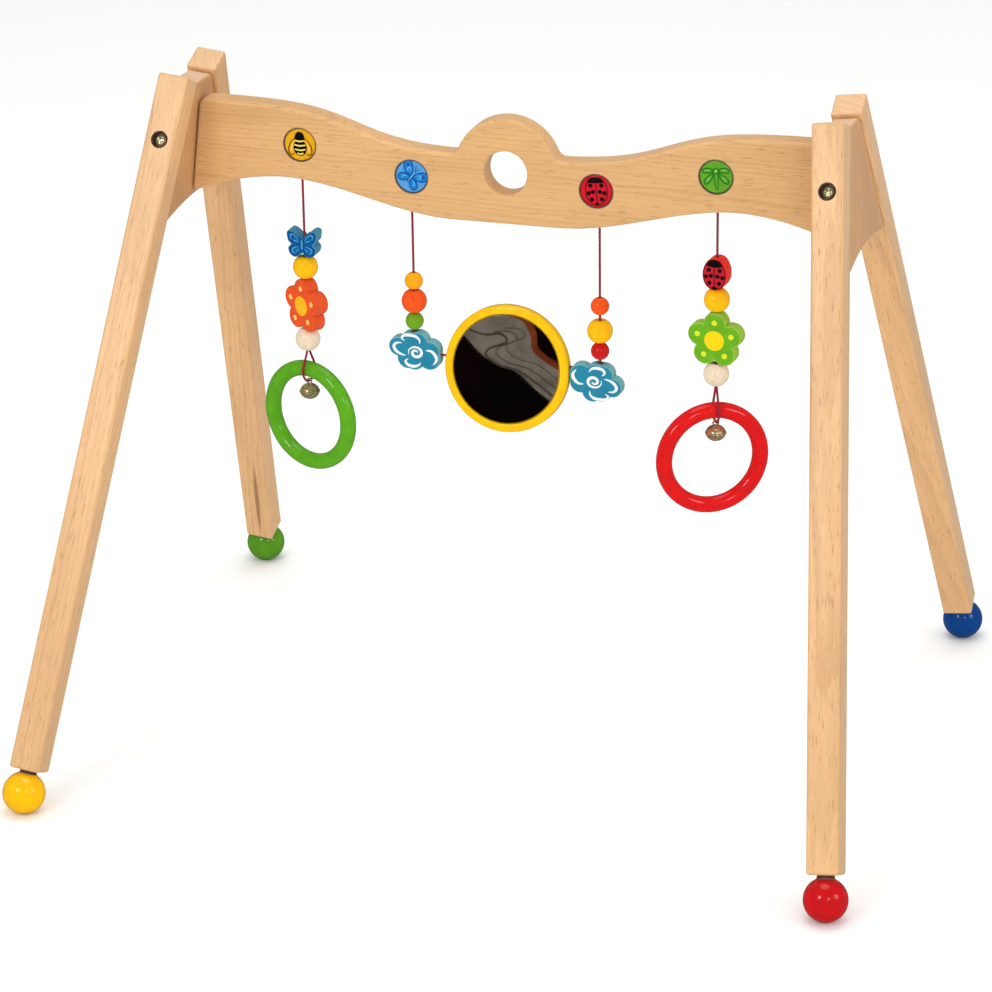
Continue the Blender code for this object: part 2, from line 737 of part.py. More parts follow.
def ring(name, x, height, turn, look, aside):
    """A wooden ring that hangs a little to the side of its cord. Its origin is in its tube."""
    bpy.ops.mesh.primitive_torus_add(
        major_radius=RING_RADIUS,
        minor_radius=RING_TUBE,
        major_segments=36,
        minor_segments=12,
    )
    obj = bpy.context.object
    obj.name = name
    for vertex in obj.data.vertices:
        vertex.co.x += aside
        vertex.co.y -= RING_RADIUS
    soften(obj, 60)
    return place(obj, look, (x, 0, height), (math.pi / 2, 0, math.radians(turn)))


def bell(name, x, height, turn):
    """A jingle bell with an eye, a cross slot below and its pellet. height is the eye's cord."""
    eye_height = height + CORD_RADIUS + GAP - (EYE_RADIUS - EYE_WIRE)
    middle = eye_height - EYE_RADIUS - EYE_WIRE + 0.75 * MM - BELL_HALF
    holder = pivot(name + "_swing", (x, 0, middle), (0, 0, math.radians(turn)))
    count = 9
    angles = [math.radians(90 - 180 * i / (count - 1)) for i in range(count)]
    outer = [(BELL_RADIUS * math.cos(a), BELL_HALF * math.sin(a)) for a in angles]
    lip = BELL_RADIUS + BELL_LIP
    outer[count // 2 : count // 2 + 1] = [
        (BELL_RADIUS, 0.5 * MM),
        (lip, BELL_LIP),
        (lip, -BELL_LIP),
        (BELL_RADIUS, -0.5 * MM),
    ]
    outer[0] = (0, BELL_HALF)
    outer[-1] = (0, -BELL_HALF)
    obj = turned(name, outer, 16)
    inside = BELL_RADIUS - BELL_WALL
    deep = BELL_HALF - BELL_WALL
    cavity_line = [(inside * math.cos(a), deep * math.sin(a)) for a in angles]
    cavity_line[0] = (0, deep)
    cavity_line[-1] = (0, -deep)
    cavity = turned(name + "_cavity", cavity_line, 16)
    place(cavity, None, parent=holder)
    long, narrow, high = BELL_SLOT
    for axis, size in (("x", (long, narrow, high)), ("y", (narrow, long, high))):
        slot = box(name + "_slot_" + axis, size)
        place(slot, None, (0, 0, -BELL_HALF + 0.5 * MM), parent=holder)
        cut(cavity, slot, "UNION")
    bpy.ops.mesh.primitive_torus_add(
        major_radius=EYE_RADIUS, minor_radius=EYE_WIRE, major_segments=14, minor_segments=8
    )
    eye = bpy.context.object
    eye.name = name + "_eye"
    place(eye, None, (0, 0, eye_height - middle), (math.pi / 2, 0, 0), holder)
    cut(obj, eye, "UNION")
    cut(obj, cavity)
    place(obj, "nickel", parent=holder)
    bpy.ops.mesh.primitive_uv_sphere_add(segments=12, ring_count=8, radius=PELLET_RADIUS)
    pellet = bpy.context.object
    pellet.name = name + "_pellet"
    place(pellet, "nickel", (0, 0, PELLET_RADIUS + GAP - deep), parent=holder)
    return soften(pellet, 80)


for side, x, natural, ring_centre, turn, look, aside in (
    ("left", LEFT_OUTER, LEFT_NATURAL, 223.2 * MM, -20, "green", 0.0),
    ("right", RIGHT_OUTER, RIGHT_NATURAL, 221.6 * MM, 32, "red", -2.4 * MM),
):
    tube_height = ring_centre + RING_RADIUS
    looped_cord(side + "_outer_cord", x, natural, tube_height, turn)
    ring(look + "_ring", x, tube_height, turn, look, aside)
    loop_low = tube_height - (RING_TUBE + 2 * EYE_WIRE + CORD_RADIUS + LOOP_SLACK)
    bell(side + "_bell", x, loop_low, turn)

# ---------------------------------------------------------------- mirror between the inner strings

LEFT_CLOUD = (-70.6 * MM, 280.6 * MM)
RIGHT_CLOUD = (63.0 * MM, 269.9 * MM)
ROW_PIVOT = 289.5 * MM  # where the inner cords meet the row of clouds and mirror
LEFT_CORD_END = 285.0 * MM
RIGHT_CORD_END = 281.5 * MM
CLOUD_BORE = 2.4 * MM
LINK_IN_FRAME = 6.5 * MM
LINK_FREE = 1.0 * MM  # between the end of a link and the end of its bore

tube(
    "left_inner_cord",
    [(LEFT_INNER, 0, INNER_HANG - CORD_START), (LEFT_INNER, 0, LEFT_CORD_END)],
    "cord",
)
tube(
    "right_inner_cord",
    [(RIGHT_INNER, 0, INNER_HANG + BEND_HALF), (RIGHT_INNER, 0, RIGHT_CORD_END)],
    "cord",
)

link_bores = []
for side, sign, (x, height), cord_x in (
    ("left", -1, LEFT_CLOUD, LEFT_INNER),
    ("right", 1, RIGHT_CLOUD, RIGHT_INNER),
):
    # The right cloud is the left one turned half round
    lobes = [(-sign * cx, -sign * cy, radius) for cx, cy, radius in CLOUD]
    cloud = plate(side + "_cloud_bead", lobed(lobes, 50), CLOUD_THICK, 1.0 * MM, 1)
    place(cloud, "teal", (x, 0, height), (math.pi / 2, 0, 0))
    bore = rod(side + "_cloud_bore", CLOUD_BORE, LINK_HEIGHT - 2.5 * MM, 0.3, 12)
    place(bore, None, (cord_x, 0, 0))
    cut(cloud, bore)
    inner = abs(MIRROR_X + sign * (FRAME_RADIUS - LINK_IN_FRAME))
    outer = abs(cord_x)
    channel = rod(side + "_link_bore", LINK_BORE, inner, outer, 12)
    place(channel, None, (0, 0, LINK_HEIGHT), (0, sign * math.pi / 2, 0))
    cut(cloud, channel)
    link_bores.append(channel)
    ends = (sign * (inner + LINK_FREE), sign * (outer - CLOUD_BORE - LINK_FREE))
    tube(side + "_mirror_link", [(end, 0, LINK_HEIGHT) for end in ends], "cord")

front = FRAME_DEPTH / 2
seat = front - GLASS_SET_BACK - GLASS_THICK - GAP
frame_profile = [(0, seat), (GLASS_RADIUS + GAP, seat), (GLASS_RADIUS + GAP, front - 0.5 * MM)]
frame_profile += [(GLASS_RADIUS + 1 * MM, front), (FRAME_RADIUS - 2.6 * MM, front)]
frame_profile += [(FRAME_RADIUS - 0.8 * MM, front - 0.9 * MM), (FRAME_RADIUS, front - 2.8 * MM)]
frame_profile += [(x, -z) for x, z in reversed(frame_profile[-3:])]
frame_profile.append((0, -front))
mirror_frame = turned("mirror_frame", frame_profile, 48)
hanging = pivot("mirror_axis", (MIRROR_X, 0, LINK_HEIGHT), (-MIRROR_TILT, 0, 0))
below = MIRROR_HEIGHT - LINK_HEIGHT
place(mirror_frame, "yellow", (0, 0, below), (math.pi / 2, 0, 0), hanging)
for channel in link_bores:
    cut(mirror_frame, channel)
glass = rod("mirror_plate", GLASS_RADIUS, 0, GLASS_THICK, 48)
glass_back = GLASS_SET_BACK + GLASS_THICK - front
place(soften(glass), "mirror", (0, glass_back, below), (math.pi / 2, 0, 0), hanging)
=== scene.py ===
"""The looks of a wooden baby play gym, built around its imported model. Metres, +Z up, viewer at -Y."""

import json
import math

import bmesh
import bpy
from mathutils import Euler, Matrix, Vector


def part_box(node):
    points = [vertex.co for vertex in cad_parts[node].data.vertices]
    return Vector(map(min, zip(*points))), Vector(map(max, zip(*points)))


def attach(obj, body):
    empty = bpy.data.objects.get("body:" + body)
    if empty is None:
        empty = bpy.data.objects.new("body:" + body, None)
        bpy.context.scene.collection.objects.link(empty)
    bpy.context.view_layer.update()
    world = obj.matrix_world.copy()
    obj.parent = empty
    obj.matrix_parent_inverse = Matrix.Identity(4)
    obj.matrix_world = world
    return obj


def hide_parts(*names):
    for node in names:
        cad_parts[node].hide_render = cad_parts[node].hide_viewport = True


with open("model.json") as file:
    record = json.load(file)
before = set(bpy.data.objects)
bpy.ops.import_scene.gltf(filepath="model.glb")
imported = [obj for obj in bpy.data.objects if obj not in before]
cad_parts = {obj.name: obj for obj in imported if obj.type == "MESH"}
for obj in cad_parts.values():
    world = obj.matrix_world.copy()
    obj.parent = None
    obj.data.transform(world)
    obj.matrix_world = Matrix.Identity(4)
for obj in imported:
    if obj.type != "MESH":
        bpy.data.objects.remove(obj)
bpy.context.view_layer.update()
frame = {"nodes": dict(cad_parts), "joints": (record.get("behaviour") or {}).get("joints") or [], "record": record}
MM = 0.001
SCENE = bpy.context.scene
JOINTS = {joint["name"]: joint for joint in frame["joints"]}
BODY_OF = {n: body for body, nodes in frame["record"]["behaviour"]["bodies"].items() for n in nodes}


def joint_at(name):
    """Where a joint turns."""
    return Vector(JOINTS[name]["pos_m"])


def srgb(red, green, blue):
    """A colour as it looks on a screen, from 0 to 255, as a shader's numbers."""
    linear = [
        c / 12.92 if c <= 0.04045 else ((c + 0.055) / 1.055) ** 2.4
        for c in (red / 255, green / 255, blue / 255)
    ]
    return (*linear, 1.0)


def added(name, data):
    """A new object in the scene."""
    obj = bpy.data.objects.new(name, data)
    SCENE.collection.objects.link(obj)
    return obj


def shade(colour, share):
    """The same colour, darker below 1 and lighter above."""
    return (*[min(c * share, 1.0) for c in colour[:3]], 1.0)


def warm(colour, share):
    """The same colour darker and redder, as wood darkens."""
    red, green, blue = colour[:3]
    return (red * share, green * share**1.3, blue * share**1.7, 1.0)


# ---------------------------------------------------------------- camera

CAMERA_AT = (0.7373, -2.3306, 1.1570)
CAMERA_YAW = math.radians(17.84)
CAMERA_DOWN = math.radians(21.86)
CAMERA_ROLL = math.radians(-0.85)
CAMERA_LENS = 133.6
SENSOR = 36.0


def make_camera():
    """A long lens, from the front right and above."""
    camera = bpy.data.cameras.new("camera")
    camera.lens = CAMERA_LENS
    camera.sensor_width = SENSOR
    obj = added("camera", camera)
    turn = Matrix.Rotation(CAMERA_YAW, 4, "Z") @ Matrix.Rotation(math.pi / 2 - CAMERA_DOWN, 4, "X")
    turn = turn @ Matrix.Rotation(CAMERA_ROLL, 4, "Z")
    obj.matrix_world = Matrix.Translation(CAMERA_AT) @ turn
    SCENE.camera = obj


make_camera()

# ---------------------------------------------------------------- materials


class Look:
    """Builds one material's nodes. An input is a number, a colour or another node's output."""

    def __init__(self, name, **inputs):
        self.material = bpy.data.materials.new(name)
        self.material.use_nodes = True
        self.tree = self.material.node_tree
        self.shader = self.tree.nodes["Principled BSDF"]
        self.feed(self.shader, {key.replace("_", " ").capitalize(): v for key, v in inputs.items()})

    def feed(self, node, inputs):
        """Set or link a node's inputs."""
        names = {socket.name.lower(): socket for socket in reversed(node.inputs)}
        for key, value in inputs.items():
            socket = node.inputs[key] if isinstance(key, int) else names[key.lower()]
            if isinstance(value, bpy.types.NodeSocket):
                self.tree.links.new(value, socket)
            else:
                socket.default_value = value

    def node(self, kind, inputs, output=0, **settings):
        """A new node; gives one of its outputs."""
        made = self.tree.nodes.new("ShaderNode" + kind)
        for key, value in settings.items():
            setattr(made, key, value)
        self.feed(made, inputs)
        return made.outputs[output]

    def place(self, turn=(0, 0, 0), origin=(0, 0, 0)):
        """The piece's own coordinates, seen from an origin that is turned."""
        own = self.node("TexCoord", {}, "Object")
        inputs = {"Vector": own, "Location": origin, "Rotation": turn}
        return self.node("Mapping", inputs, vector_type="TEXTURE")

    def scaled(self, at, scale):
        return self.node("VectorMath", {0: at, 1: scale}, operation="MULTIPLY")

    def noise(self, at, scale, detail=3.0, rough=0.55, distort=0.0):
        inputs = {"Vector": at, "Scale": scale, "Detail": detail}
        inputs.update({"Roughness": rough, "Distortion": distort})
        return self.node("TexNoise", inputs)

    def math(self, operation, first, second=0.0, third=0.0):
        return self.node("Math", {0: first, 1: second, 2: third}, operation=operation)

    def times(self, first, second):
        return self.math("MULTIPLY", first, second)

    def span(self, value, low, high, to_low=0.0, to_high=1.0):
        """Stretch a value from one range to another, held at its ends."""
        inputs = {"Value": value, "From Min": low, "From Max": high}
        inputs.update({"To Min": to_low, "To Max": to_high})
        return self.node("MapRange", inputs, interpolation_type="SMOOTHSTEP")

    def mix(self, share, first, second, blend="MIX"):
        """Mix two colours."""
        inputs = {0: share, 6: first, 7: second}
        return self.node("Mix", inputs, 2, data_type="RGBA", blend_type=blend)

    def bump(self, height, distance, under=None):
        inputs = {"Height": height, "Distance": distance, "Strength": 1.0}
        if under:
            inputs["Normal"] = under
        return self.node("Bump", inputs)

    def surface(self, colour, rough, normal):
        """Give the shader its colour, roughness and normal; gives the finished material."""
        self.feed(self.shader, {"Base Color": colour, "Roughness": rough, "Normal": normal})
        return self.material


END_GRAIN = srgb(236, 214, 186)
SWAY_DRAWN = (1, 1, 0.1)  # how each pattern is drawn out along the grain
FIBRE_DRAWN = (1, 1, 0.018)
PORE_DRAWN = (1, 1, 0.07)
BROAD_DRAWN = (1, 1, 0.22)
SWAY_REACH = 0.011  # metres that the ring lines wander
FIBRE_SHARE = 0.42
PORE_SHARE = 0.5
STREAK_SHARE = 0.92
STREAK_SWAY = 0.9  # how ragged the streak's outline is


def wood(name, turn, pith, tint, ring=3.4 * MM, cone=0.05, figure=0.5, streak=None, ends=0.15):
    """Clear-lacquered timber. turn carries Z onto the grain; the rings go round the line of the pith."""
    look = Look(name, coat_weight=0.22, coat_roughness=0.22, sheen_weight=0.3, sheen_roughness=0.35)
    at = look.place(turn, pith)
    light, dull, dark = shade(tint, 1.08), warm(tint, 0.93), warm(tint, 0.70)
    sway = look.noise(look.scaled(at, SWAY_DRAWN), 42, 3, 0.6)
    trunk = look.node("VectorMath", {0: look.scaled(at, (1, 1, cone))}, "Value", operation="LENGTH")
    trunk = look.math("ADD", trunk, look.times(sway, SWAY_REACH))
    year = look.math("DIVIDE", trunk, ring)
    late = look.span(look.math("FRACT", year), 0.25, 0.92)
    early = look.span(look.math("FRACT", year), 0.93, 1.0, 1.0, 0.0)
    each = look.node("TexWhiteNoise", {"W": look.math("FLOOR", year)}, "Value", noise_dimensions="1D")
    line = look.times(look.times(late, early), look.span(each, 0, 1, 0.25, 1.0))
    fibre = look.noise(look.scaled(at, FIBRE_DRAWN), 1500, 4, 0.7)
    pores = look.span(look.noise(look.scaled(at, PORE_DRAWN), 1150, 2, 0.5), 0.60, 0.70)
    broad = look.span(look.noise(look.scaled(at, BROAD_DRAWN), 26, 3), 0.3, 0.7)
    colour = look.mix(broad, light, dull)
    colour = look.mix(look.times(line, figure), colour, dark)
    thread = look.span(fibre, 0.3, 0.72)
    colour = look.mix(look.times(thread, FIBRE_SHARE), colour, warm(tint, 0.74))
    colour = look.mix(look.times(pores, PORE_SHARE), colour, warm(tint, 0.46))
    if streak:
        place_at, size = streak
        near = look.node("VectorMath", {0: at, 1: place_at}, operation="SUBTRACT")
        near = look.scaled(near, tuple(1 / s for s in size))
        near = look.node("VectorMath", {0: near}, "Value", operation="LENGTH")
        near = look.math("ADD", near, look.times(sway, STREAK_SWAY))
        mark = look.span(near, 1.35, 0.75)
        colour = look.mix(look.times(mark, STREAK_SHARE), colour, warm(tint, 0.44))
    grain = Euler(turn).to_matrix() @ Vector((0, 0, 1))
    facing = look.node("TexCoord", {}, "Normal")
    across = look.node("VectorMath", {0: facing, 1: grain}, "Value", operation="DOT_PRODUCT")
    end_grain = look.span(look.math("ABSOLUTE", across), 0.70, 0.92)
    colour = look.mix(look.times(end_grain, ends), colour, END_GRAIN)
    rough = look.math("MULTIPLY_ADD", thread, 0.14, 0.34)
    normal = look.bump(fibre, 0.05 * MM)
    normal = look.bump(look.times(pores, -1.0), 0.05 * MM, normal)
    normal = look.bump(line, 0.03 * MM, normal)
    return look.surface(colour, rough, normal)


def lacquer(name, colour, gloss=0.26, grain=0.16, coat=0.28):
    """Coloured lacquer on turned or sawn wood, with the grain just showing."""
    look = Look(name, coat_weight=coat, coat_roughness=0.07, specular_ior_level=0.14)
    look.feed(look.shader, {"Sheen Weight": 0.08, "Sheen Roughness": 0.35})
    at = look.place()
    patch = look.span(look.noise(at, 130, 4, 0.6), 0.3, 0.7)
    fibre = look.noise(look.scaled(at, (1, 1, 0.06)), 1300, 3, 0.65)
    thread = look.span(fibre, 0.42, 0.72)
    tone = look.mix(patch, shade(colour, 1.06), shade(colour, 0.90))
    tone = look.mix(look.times(thread, grain), tone, shade(colour, 0.62))
    speck = look.span(look.noise(at, 2600, 1, 0.4), 0.72, 0.80)
    tone = look.mix(look.times(speck, 0.35), tone, shade(colour, 0.7))
    rough = look.math("MULTIPLY_ADD", patch, 0.10, gloss)
    normal = look.bump(look.noise(at, 420, 2, 0.5), 0.06 * MM)
    normal = look.bump(fibre, 0.025 * MM, normal)
    return look.surface(tone, rough, normal)


def ink(name, colour, gloss=0.35):
    """Screen-printed ink: a thin even film with a slightly broken surface."""
    look = Look(name, coat_weight=0.12, coat_roughness=0.15, specular_ior_level=0.12)
    at = look.place()
    patch = look.span(look.noise(at, 900, 3, 0.6), 0.3, 0.75)
    tone = look.mix(patch, shade(colour, 1.05), shade(colour, 0.86))
    rough = look.math("MULTIPLY_ADD", patch, 0.15, gloss)
    normal = look.bump(look.noise(at, 3000, 2, 0.5), 0.02 * MM)
    return look.surface(tone, rough, normal)


def metal(name, colour, rough, tarnish, scratch=0.03):
    """Plated steel: soft scratches, and darker where it has dulled."""
    look = Look(name, metallic=0.8)
    at = look.place()
    dull = look.span(look.noise(at, 260, 4, 0.65), 0.38, 0.72)
    tone = look.mix(dull, colour, tarnish)
    lines = look.noise(look.scaled(at, (1, 1, 0.1)), 5200, 2, 0.6)
    gloss = look.math("MULTIPLY_ADD", dull, 0.16, rough)
    normal = look.bump(lines, scratch * MM)
    return look.surface(tone, gloss, normal)


def thread(name, colour):
    """Round twisted polyester cord."""
    look = Look(name, sheen_weight=0.35, sheen_roughness=0.4, roughness=0.72)
    look.shader.inputs["Sheen Tint"].default_value = shade(colour, 2.5)
    at = look.place()
    fuzz = look.noise(at, 5200, 3, 0.7)
    slow = look.span(look.noise(at, 160, 2), 0.3, 0.7)
    tone = look.mix(look.span(fuzz, 0.35, 0.65), shade(colour, 1.35), shade(colour, 0.6))
    tone = look.mix(look.times(slow, 0.4), tone, shade(colour, 0.7))
    look.feed(look.shader, {"Base Color": tone, "Normal": look.bump(fuzz, 0.08 * MM)})
    return look.material


def mirror_sheet(name):
    """Acrylic mirror: almost flat, so what it shows bends a little."""
    look = Look(name, metallic=1.0, coat_weight=0.6, coat_roughness=0.02)
    at = look.place()
    haze = look.span(look.noise(at, 90, 4, 0.6), 0.35, 0.75)
    tone = look.mix(haze, srgb(214, 214, 214), srgb(196, 195, 193))
    rough = look.math("MULTIPLY_ADD", haze, 0.02, 0.012)
    normal = look.bump(look.noise(look.scaled(at, (1, 1, 0.6)), 26, 1, 0.4), 0.05 * MM)
    return look.surface(tone, rough, normal)


YELLOW = srgb(250, 188, 0)
GREEN = srgb(90, 168, 26)
CORD_RED = srgb(150, 16, 46)

# ---------------------------------------------------------------- shapes


MERGE = 0.000002  # corners nearer than this, in metres, are one
SHARP = 38  # degrees between two faces with an edge that stays sharp
CORD_STEP = 0.4 * MM


def finished(name, shape, sharp=SHARP):
    """An object from a bmesh, shaded smooth with its sharp edges kept."""
    bmesh.ops.remove_doubles(shape, verts=shape.verts, dist=MERGE)
    bmesh.ops.recalc_face_normals(shape, faces=shape.faces)
    mesh = bpy.data.meshes.new(name)
    shape.to_mesh(mesh)
    shape.free()
    mesh.shade_smooth()
    mesh.set_sharp_from_angle(angle=math.radians(sharp))
    return added(name, mesh)


def skin(shape, rings, closed=False):
    """Faces from each ring of corners to the next, and over both ends unless the last meets the first."""
    sides = len(rings[0])
    for first, second in zip(rings, rings[1:] + (rings[:1] if closed else [])):
        for j in range(sides):
            k = (j + 1) % sides
            shape.faces.new((first[j], first[k], second[k], second[j]))
    if not closed:
        shape.faces.new(rings[0])
        shape.faces.new(list(reversed(rings[-1])))


def even_light(obj):
    """Keep wide faces flat beside their eased edges."""
    weighted = obj.modifiers.new("even_light", "WEIGHTED_NORMAL")
    weighted.keep_sharp = True
    return obj


def arc(centre, radius, start, stop, count):
    """Points on an arc, from start to stop in degrees, both included."""
    angles = [math.radians(start + (stop - start) * i / (count - 1)) for i in range(count)]
    return [(centre[0] + radius * math.cos(a), centre[1] + radius * math.sin(a)) for a in angles]


def turned(name, profile, steps=64, closed=False, sharp=SHARP):
    """A profile in the XZ plane turned round Z."""
    shape = bmesh.new()
    points = [shape.verts.new((x, 0, z)) for x, z in profile]
    following = points[1:] + points[:1] if closed else points[1:]
    edges = [shape.edges.new(pair) for pair in zip(points, following)]
    bmesh.ops.spin(
        shape, geom=points + edges, axis=(0, 0, 1), angle=2 * math.pi, steps=steps, use_merge=True
    )
    return finished(name, shape, sharp)


def between(t, p, q, r, s):
    """One coordinate of a smooth curve through p, q, r and s, a share t of the way from q to r."""
    return 0.5 * (2 * q + (r - p) * t + (2 * p - 5 * q + 4 * r - s) * t**2 + (3 * q - p - 3 * r + s) * t**3)


def curved(points, per, closed=True):
    """A smooth line through the points, per steps between each two."""
    count = len(points)
    line = []
    for i in range(count if closed else count - 1):
        if closed:
            near = [points[(i + k) % count] for k in (-1, 0, 1, 2)]
        else:
            near = [points[min(max(i + k, 0), count - 1)] for k in (-1, 0, 1, 2)]
        for step in range(per):
            line.append(tuple(between(step / per, *four) for four in zip(*near)))
    if not closed:
        line.append(tuple(points[-1]))
    return line


def lobed(circles, count):
    """The outline of overlapping circles, seen from their common middle."""
    line = []
    for i in range(count):
        angle = math.pi / 2 + 2 * math.pi * i / count
        reach = 0.0
        for x, y, radius in circles:
            along = x * math.cos(angle) + y * math.sin(angle)
            across = x * math.sin(angle) - y * math.cos(angle)
            if abs(across) < radius:
                reach = max(reach, along + math.sqrt(radius**2 - across**2))
        line.append((reach * math.cos(angle), reach * math.sin(angle)))
    return line


def plate(name, outline, thick, rounding):
    """A flat outline in the XY plane with its thickness and round edges."""
    curve = bpy.data.curves.new(name, "CURVE")
    curve.dimensions = "2D"
    curve.fill_mode = "BOTH"
    curve.extrude = thick / 2 - rounding
    curve.bevel_depth = rounding
    curve.bevel_resolution = 4
    curve.offset = -rounding
    spline = curve.splines.new("POLY")
    spline.points.add(len(outline) - 1)
    for point, (x, y) in zip(spline.points, outline):
        point.co = (x, y, 0, 1)
    spline.use_cyclic_u = True
    flat = added(name + "_outline", curve)
    mesh = bpy.data.meshes.new_from_object(flat.evaluated_get(bpy.context.evaluated_depsgraph_get()))
    bpy.data.objects.remove(flat)
    shape = bmesh.new()
    shape.from_mesh(mesh)
    return even_light(finished(name, shape))


def cut_away(obj, cutters, sharp):
    """Take the cutters' shapes out of an object."""
    bpy.context.view_layer.update()
    for cutter in cutters:
        boolean = obj.modifiers.new(cutter.name, "BOOLEAN")
        boolean.solver = "EXACT"
        boolean.object = cutter
    graph = bpy.context.evaluated_depsgraph_get()
    mesh = bpy.data.meshes.new_from_object(obj.evaluated_get(graph))
    obj.modifiers.clear()
    obj.data = mesh
    mesh.set_sharp_from_angle(angle=math.radians(sharp))
    for cutter in cutters:
        bpy.data.objects.remove(cutter)
    return even_light(obj)


def hollow(obj, radius, low, high, base):
    """Cut a round hole through a plate that stands in XY; base turns the hole from Z."""
    cutter = turned(obj.name + "_cutter", [(0, low), (radius, low), (radius, high), (0, high)], 24)
    cutter.matrix_world = base
    return cut_away(obj, [cutter], SHARP)


def line_tube(name, route, radius, pitch=3.0 * MM, strands=3):
    """A twisted cord along a route, with round ends."""
    points = [Vector(p) for p in route]
    lengths = [0.0]
    for a, b in zip(points, points[1:]):
        lengths.append(lengths[-1] + (b - a).length)
    count = max(4, round(lengths[-1] / CORD_STEP))
    places = []
    i = 0
    for k in range(count + 1):
        s = lengths[-1] * k / count
        while i < len(points) - 2 and lengths[i + 1] < s:
            i += 1
        part = (s - lengths[i]) / (lengths[i + 1] - lengths[i])
        places.append((s, points[i].lerp(points[i + 1], part)))
    shape = bmesh.new()
    sides = strands * 5
    side = None
    rings = []
    end = radius * 0.5
    for k, (s, place_at) in enumerate(places):
        along = (places[min(k + 1, count)][1] - places[max(k - 1, 0)][1]).normalized()
        if side is None:
            side = along.orthogonal()
        side = (side - along * side.dot(along)).normalized()
        other = along.cross(side)
        share = min(1.0, s / end, (lengths[-1] - s) / end)
        full = radius * math.sqrt(max(1 - (1 - share) ** 2, 0.04))
        ring = []
        for j in range(sides):
            angle = 2 * math.pi * j / sides
            lobe = 0.88 + 0.16 * abs(math.cos(strands * angle / 2))
            turn = angle + 2 * math.pi * s / (pitch * strands)
            ring.append(shape.verts.new(
                place_at + full * lobe * (side * math.cos(turn) + other * math.sin(turn))
            ))
        rings.append(ring)
    skin(shape, rings)
    return finished(name, shape, 60)


def put(obj, node, *materials, slot=None):
    """obj takes the place of a CAD node: it rides on its body."""
    for material in materials:
        obj.data.materials.append(material)
    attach(obj, BODY_OF[node])
    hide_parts(node)
    return obj


def goes_with(obj, node, material):
    """A further piece on the same body as a CAD node."""
    obj.data.materials.append(material)
    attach(obj, BODY_OF[node])
    return obj


def middle(node):
    """The middle of a CAD node's box."""
    low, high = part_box(node)
    return (low + high) / 2


# ---------------------------------------------------------------- cords

CORD_RADIUS = 0.85 * MM
KNOT_RADIUS = 2.7 * MM
LOOP_SPREAD = 1.1 * MM
LOOP_DEEP = 9.15 * MM  # from the middle of the ring's tube down to the loop's lowest line
LOOP_WIDE = 6.95 * MM
BEAD_HALF = 8.1 * MM
TURN = {  # how each piece is turned round its cord
    "green_ring": -20,
    "red_ring": 32,
    "orange_flower_bead": -33.5,
    "green_flower_bead": -5,
    "butterfly_bead": 0,
    "ladybird_bead": -5,
}
cord_look = thread("crimson_cord", CORD_RED)


def smooth_step(value):
    return (1 - math.cos(math.pi * value)) / 2


def loop_route(side, ring):
    """From the bar down the beads, round the ring's tube and back up into the last bead."""
    top = joint_at(side + "_side_swing")
    natural = joint_at(side + "_outer_natural_bead_spin").z
    tube = joint_at(ring + "_rock").z
    mouth = natural - BEAD_HALF
    straight = top.z - natural - 7.5 * MM
    hanging = [(0, top.z - straight * i / 22) for i in range(23)]
    hanging.append((LOOP_SPREAD, natural + 3 * MM))
    half = [(LOOP_SPREAD, natural - 3 * MM), (LOOP_SPREAD + 0.1 * MM, mouth)]
    for i in range(1, 6):
        share = 0.55 * smooth_step(i / 6) + 0.45 * i / 6
        across = LOOP_SPREAD + 0.1 * MM + (LOOP_WIDE - LOOP_SPREAD - 0.1 * MM) * share
        half.append((across, mouth + (tube - mouth) * i / 6))
    bend = [math.radians(180 * i / 12) for i in range(13)]
    down = [(LOOP_WIDE * math.cos(a), tube - LOOP_DEEP * math.sin(a)) for a in bend]
    back = [(-across, height) for across, height in reversed(half)]
    angle = math.radians(TURN[ring]) - math.pi / 2
    flat = hanging + half + down + back
    route = [(top.x + a * math.cos(angle), a * math.sin(angle), height) for a, height in flat]
    return curved(route, 4, closed=False)


def cord(node, route):
    """One hanging cord."""
    obj = put(line_tube(node + "_twist", route, CORD_RADIUS), node, cord_look)


def knot(node):
    """A thumb knot in the bar with its tail down to where the cord bends."""
    low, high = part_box(node)
    x = (low.x + high.x) / 2
    heart = high.z - KNOT_RADIUS
    turns = []
    for i in range(49):
        t = 2 * math.pi * i / 48
        reach = KNOT_RADIUS - CORD_RADIUS
        turns.append((
            x + reach * 0.55 * (math.sin(t) + 0.9 * math.sin(2 * t)),
            reach * 0.55 * (math.cos(t) - 0.9 * math.cos(2 * t)),
            heart - reach * 0.55 * math.sin(3 * t) + 0.2 * MM,
        ))
    tail = [(x, 0, heart), (x, 0, (heart + low.z) / 2), (x, 0, low.z - 1.2 * MM)]
    obj = line_tube(node + "_tail", tail, CORD_RADIUS)
    wound = line_tube(node + "_wound", turns, CORD_RADIUS)
    return put(obj, node, cord_look), goes_with(wound, node, cord_look)


def bend(node, joint):
    """The short stretch of cord that bends below the bar."""
    at = joint_at(joint)
    route = [(at.x, at.y, at.z + z * MM) for z in (1.2, 0.4, -0.4, -1.2)]
    return put(line_tube(node + "_twist", route, CORD_RADIUS * 1.02), node, cord_look)


KNOTS = {place_name: knot(place_name + "_cord_knot") for place_name in
         ("left_outer", "left_inner", "right_inner", "right_outer")}
left_bend = bend("left_outer_cord_bend", "left_side_swing")
inner_bend = bend("inner_cord_bend", "row_side_swing")
right_bend = bend("right_outer_cord_bend", "right_side_swing")
cord("left_outer_cord", loop_route("left", "green_ring"))
cord("right_outer_cord", loop_route("right", "red_ring"))


